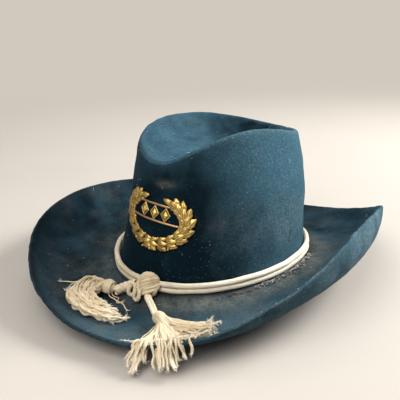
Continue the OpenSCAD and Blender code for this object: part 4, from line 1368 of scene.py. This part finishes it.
def build_sweatband():
    rows = 26
    station = np.linspace(0.8, 2.35, rows)
    wobble = (0.12 * np.sin(INSIDE * 13)[:, None] * np.linspace(0.2, 1, rows)[None]
              + 0.10 * np.sin(INSIDE * 37 + 1)[:, None] * np.linspace(0, 1, rows)[None] ** 2)
    stain = 0.25 * (0.5 + 0.5 * np.sin(INSIDE * 5 + 2))[:, None]
    dark = np.clip(0.55 * bell(station, width=0.03, at=2.33)
                   + 0.35 * bell(station, width=0.15, at=0.9)
                   + stain * bell(station, width=0.4, at=1.6), 0, 1)
    build_shell("sweatband_leather", "sweatband", LEATHER, INSIDE, station,
                (BAND_OUT, BAND_IN), np.maximum(wobble, -0.05), dark)
    # tape at the back
    build_shell("sweatband_seam_tape", "sweatband_seam", LEATHER,
                np.radians(np.linspace(177.6, 182.4, 14)), np.linspace(1.15, 2.3, 20),
                (BAND_IN + 0.30, BAND_IN + 0.75), dark=0.45, close=False)


def build_reed():
    angle = np.linspace(0, TURN, 420, endpoint=False)
    piece = Piece()
    piece.tube(closed(oval(angle) - oval_normal(angle) * (BAND_OUT + 0.6) + UP * 0.3), 0.9,
               sides=10, lobes=2, depth=0.05, twist=0.8)
    piece.build("sweatband_reed_cord", REED, node="sweatband_reed")


def build_stitches():
    piece = Piece()
    count = 72
    part = np.linspace(0, 1, 9)
    depth = BAND_IN + 0.28 + 0.25 * np.sin(math.pi * part)
    for i in range(count):
        angle = (i + 0.5) * TURN / count + part * math.radians(2.4)
        piece.tube(in_wall(angle, [1.0], depth[:, None, None])[:, 0], 0.27, sides=7, lobes=2,
                   depth=0.12, twist=4.0, soil=0.1, pale=0.0)
    piece.build("sweatband_thread", THREAD, node="sweatband_stitches")


def build_bow():
    """a ribbon bow inside the back, with two layers to each loop"""
    piece = Piece()
    centre = in_wall(math.pi, [1.35], BAND_IN + 2.0)[0, 0]
    rows, cols = 22, 9
    part, across = np.meshgrid(np.linspace(0, 1, rows), np.linspace(-1, 1, cols), indexing="ij")
    for sign in (-1, 1):
        for layer in (0, 1):
            x = sign * (0.8 + 7.6 * np.sin(part * math.pi * 0.5))
            y = ((0.9 - 1.3 * layer) * np.sin(math.pi * part) - 0.15
                 + 0.15 * np.sin(across * 5))
            z = across * (0.9 + 2.3 * part) + 0.3 * sign * part
            face = centre + np.stack([x, y, z], -1)
            piece.add(np.stack([face, face + np.array([0, -0.25, 0])]), slab_faces(rows, cols))
    around = np.linspace(0, TURN, 30)
    piece.tube(centre + np.stack([np.cos(around), np.sin(around) - 0.1, 0 * around], -1), 1.1)
    piece.build("sweatband_ribbon_bow", RIBBON, node="sweatband_bow")


def build_lining():
    rows, seam = 30, 4.50
    folds = (0.16 * np.sin(INSIDE * 44) + 0.10 * np.sin(INSIDE * 17 + 1))[:, None]
    build_shell("lining_side_cloth", "lining_side", LINING, INSIDE,
                np.linspace(2.0, seam, rows), (3.25, 3.65),
                np.maximum(folds, -0.1) * np.linspace(0.3, 1, rows)[None])
    # the cloth under the top of the crown, closed at the dent
    station = np.concatenate([np.linspace(seam, 6.5, 18), np.linspace(6.7, 9.7, 20)])
    depths = (3.3, 3.75)
    cols, rows = len(INSIDE), len(station)
    under, ring = cols * rows, np.arange(cols) * rows
    last = ring + rows - 1
    faces = np.concatenate([
        grid_faces(cols, rows, close_rows=True),
        grid_faces(cols, rows, close_rows=True, flip=True, start=under),
        strip(ring, ring + under, close=True),
        fan(last, 2 * under), fan(under + last, 2 * under + 1, flip=True)])
    sheets = [in_wall(INSIDE, station, depth).reshape(-1, 3) for depth in depths]
    piece = Piece()
    piece.add(np.concatenate([*sheets, [DENT - UP * depth for depth in depths]]), faces)
    piece.build("lining_tip_cloth", LINING, node="lining_tip")
    # the corded seam between the two cloths
    piece = Piece()
    piece.tube(closed(in_wall(INSIDE, [seam], 4.0)[:, 0]), 0.75, lobes=2, depth=0.06,
               twist=1.2, soil=0.0, pale=0.0)
    piece.build("lining_corded_seam", LINING, node="lining_tip")


build_sweatband()
build_reed()
build_stitches()
build_bow()
build_lining()

# CAD hardware keeps its shape and takes a material
for name, material in (("badge_posts", POST), ("clutch_left", CLUTCH), ("clutch_right", CLUTCH)):
    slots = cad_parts[name].data.materials
    slots.clear()
    slots.append(material)

# ------------------------------------------------------------------ loose thread and lint
LINT_POOL = 57456        # lint is offered felt vertices numbered below this, all outer face
LINT_TRIES, LINT_COUNT = 1500, 261


def build_tacks():
    """small stitch loops under the band at the wearer's left, some with a loose tail"""
    piece = Piece()
    for i in range(46):
        degrees = 44 + i * 2.1 + rng.normal(0, 0.6)
        frac = 0.085 + rng.uniform(-0.008, 0.012)
        span = math.degrees(rng.uniform(1.4, 3.2) / 100)
        loop = [over_brim(degrees, frac, -0.3),
                over_brim(degrees + span * 0.3, frac + 0.012, 0.7 + rng.uniform(0, 0.5)),
                over_brim(degrees + span * 0.8, frac + rng.uniform(0.0, 0.03), 1.0),
                over_brim(degrees + span, frac + rng.uniform(-0.01, 0.03), -0.3)]
        piece.tube(curve(loop, 0.35), 0.36, sides=6, lobes=2, depth=0.1, twist=3.0,
                   soil=0.0, pale=0.0)
        if rng.uniform() < 0.45:
            tail = [over_brim(degrees, frac, 0.1),
                    over_brim(degrees + rng.normal(0, 1), frac + 0.025, 1.2),
                    over_brim(degrees + rng.normal(0, 1.6), frac + 0.05, 0.8)]
            piece.tube(curve(tail, 0.4), 0.13, sides=5, soil=0.0, pale=0.0)
    piece.build("band_tack_thread", DARK_THREAD)


def add_fleck(piece, root, along, lengths, lifts, radii, pale):
    """a bent fibre; lifts raise its middle and its end"""
    along = unit(along)
    length = rng.uniform(*lengths)
    path = curve([root, root + along * length * 0.5 + UP * lifts[0],
                  root + along * length + UP * lifts[1]], 0.5)
    piece.tube(path, rng.uniform(*radii), sides=4, soil=0.0, pale=pale)


def build_lint():
    piece = Piece()
    count = 0
    for i in rng.integers(0, LINT_POOL, LINT_TRIES):
        if count == LINT_COUNT:
            break
        spot = felt_points[i]
        normal = np.array(felt_gap(spot)[1])
        if normal[2] < 0.05 and spot[2] < 60:
            continue
        along = unit(np.cross(normal, rng.normal(0, 1, 3)))
        side = np.cross(normal, along)
        length = rng.uniform(0.5, 1.8) if rng.uniform() < 0.92 else rng.uniform(2.5, 4.5)
        fibre = [spot + normal * 0.12,
                 spot + along * length * 0.5 + side * rng.normal(0, 0.3) * length
                 + normal * rng.uniform(0.15, 0.5),
                 spot + along * length + normal * 0.15]
        piece.tube(curve(fibre, 0.5), rng.uniform(0.04, 0.09), sides=4, soil=0.0,
                   pale=rng.uniform(0, 0.6))
        count += 1
    # lint caught at the edge of the cord on the wearer's left
    for _ in range(130):
        root = over_brim(rng.uniform(58, 106), 0.058 + 0.045 * rng.uniform() ** 1.8, 0.35)
        along = rng.normal(0, 1, 3)
        along[2] = abs(along[2]) * 0.4
        add_fleck(piece, root, along, lengths=(0.8, 3.0), lifts=(0.2, 0), radii=(0.08, 0.14),
                  pale=0.8)
    # flecks caught on the rim
    for _ in range(34):
        root = over_brim(rng.uniform(22, 118), rng.uniform(0.965, 0.995), 0.5)
        add_fleck(piece, root, rng.normal(0, 1, 3), lengths=(0.6, 2.0), lifts=(0.3, 0.2),
                  radii=(0.08, 0.17), pale=0.5)
    piece.build("felt_lint", LINT)


build_tacks()
build_lint()

# ------------------------------------------------------------------ stage, camera and light (m)
PALE = (0.640, 0.585, 0.510)
VIEW_TURN, VIEW_RISE = math.radians(34.95), math.radians(18.26)
VIEW_ROLL, VIEW_DISTANCE = math.radians(-1.5876), 0.6197
VIEW_TARGET = Vector((-0.0263, 0.0162, 0.06029))
AWAY = Vector((-math.sin(VIEW_TURN), math.cos(VIEW_TURN), 0))     # level, from the camera
RIGHT = Vector((math.cos(VIEW_TURN), math.sin(VIEW_TURN), 0))


def build_stage():
    """a floor that curves up into a backdrop behind the hat"""
    start, end, bend_start, bend, top, half_width = -14.0, 2.2, 1.3, 0.9, 4.0, 14
    profile = [(start, 0.0), (bend_start, 0.0)]
    profile += [(bend_start + bend * math.sin(a), bend - bend * math.cos(a))
                for a in np.linspace(0.1, math.pi / 2, 14)]
    profile.append((end, top))
    points = [tuple(AWAY * x + RIGHT * y + Vector((0, 0, z - 0.0004)))
              for x, z in profile for y in (-half_width, half_width)]
    mesh = bpy.data.meshes.new("floor")
    mesh.from_pydata(points, [], [(2 * i, 2 * i + 1, 2 * i + 3, 2 * i + 2)
                                  for i in range(len(profile) - 1)])
    mesh.polygons.foreach_set("use_smooth", [True] * len(mesh.polygons))
    floor = bpy.data.objects.new("floor", mesh)
    bpy.context.scene.collection.objects.link(floor)
    mat = Material("floor_paint")
    tone = mat.mix(mat.noise(scale=6, detail=2, rough=0.5),
                   (0.46, 0.425, 0.385), (0.49, 0.455, 0.415))
    mesh.materials.append(mat.finish(Base_Color=tone, Roughness=0.85))
    # to the camera only, the far floor and the backdrop settle to one pale tone
    distance = mat.node("VectorMath", [("operation", "LENGTH")], Vector=mat.place)
    fade = mat.node("MapRange", [("interpolation_type", "SMOOTHSTEP")],
                    Value=distance.outputs["Value"], From_Min=0.55, From_Max=1.6).outputs[0]
    seen = mat.times(fade, mat.node("LightPath").outputs["Is Camera Ray"])
    glow = mat.node("Emission", Color=PALE, Strength=1.0)
    blend = mat.node("MixShader", Fac=seen)
    mat.link(mat.shader.outputs[0], blend.inputs[1])
    mat.link(glow.outputs[0], blend.inputs[2])
    mat.link(blend.outputs[0], mat.output.inputs[0])


def add_camera():
    back = Vector((math.sin(VIEW_TURN) * math.cos(VIEW_RISE),
                   -math.cos(VIEW_TURN) * math.cos(VIEW_RISE), math.sin(VIEW_RISE)))
    over = RIGHT.cross(-back)
    right = RIGHT * math.cos(VIEW_ROLL) + over * math.sin(VIEW_ROLL)
    over = -RIGHT * math.sin(VIEW_ROLL) + over * math.cos(VIEW_ROLL)
    data = bpy.data.cameras.new("camera")
    data.lens = 52.9425
    data.sensor_width = 36
    data.clip_start = 0.01
    camera = bpy.data.objects.new("camera", data)
    bpy.context.scene.collection.objects.link(camera)
    place = Matrix((right, over, back)).transposed().to_4x4()
    place.translation = VIEW_TARGET + back * VIEW_DISTANCE
    camera.matrix_world = place
    bpy.context.scene.camera = camera
    return camera, -back


def add_light(name, place, target, size, power, colour, size_y=None):
    data = bpy.data.lights.new(name, "AREA")
    data.energy = power
    data.size = size
    data.color = colour
    if size_y:
        data.shape = "RECTANGLE"
        data.size_y = size_y
    light = bpy.data.objects.new(name, data)
    bpy.context.scene.collection.objects.link(light)
    light.location = place
    aim = Vector(target) - Vector(place)
    light.rotation_euler = aim.to_track_quat("-Z", "Y").to_euler()


def build_world():
    """dim bluish light, with the pale tone shown to the camera"""
    world = bpy.data.worlds.new("world")
    bpy.context.scene.world = world
    world.use_nodes = True
    tree = world.node_tree
    ambient = tree.nodes["Background"]
    shown = tree.nodes.new("ShaderNodeBackground")
    for node, colour, strength in ((ambient, (0.80, 0.84, 0.90), 0.20), (shown, PALE, 1.0)):
        node.inputs[0].default_value = (*colour, 1)
        node.inputs[1].default_value = strength
    blend = tree.nodes.new("ShaderNodeMixShader")
    rays = tree.nodes.new("ShaderNodeLightPath")
    tree.links.new(rays.outputs["Is Camera Ray"], blend.inputs[0])
    tree.links.new(ambient.outputs[0], blend.inputs[1])
    tree.links.new(shown.outputs[0], blend.inputs[2])
    tree.links.new(blend.outputs[0], tree.nodes["World Output"].inputs[0])


build_stage()
camera, forward = add_camera()
add_light("key", RIGHT * 1.35 + Vector((0, 0, 1.0)) + AWAY * 0.30, (0, 0, 0.06),
          size=0.75, power=50, colour=(1.0, 0.985, 0.95), size_y=0.75)
add_light("top", Vector((0, 0, 1.5)) + RIGHT * 0.2 + Vector((forward.x, forward.y, 0)) * 0.5,
          (0, 0, 0.05), size=1.2, power=4.0, colour=(0.92, 0.97, 1.0))
add_light("fill", camera.location + RIGHT * -0.3 + Vector((0, 0, 0.5)), (0, 0, 0.05),
          size=0.8, power=8.5, colour=(1.0, 0.97, 0.93))
add_light("wall", AWAY * 0.9 + Vector((0, 0, 1.9)) - RIGHT * 0.5,
          AWAY * 2.2 + Vector((0, 0, 0.9)) - RIGHT * 0.5,
          size=1.4, power=26, colour=(1.0, 0.98, 0.95))
build_world()
bpy.context.scene.view_settings.view_transform = "Standard"
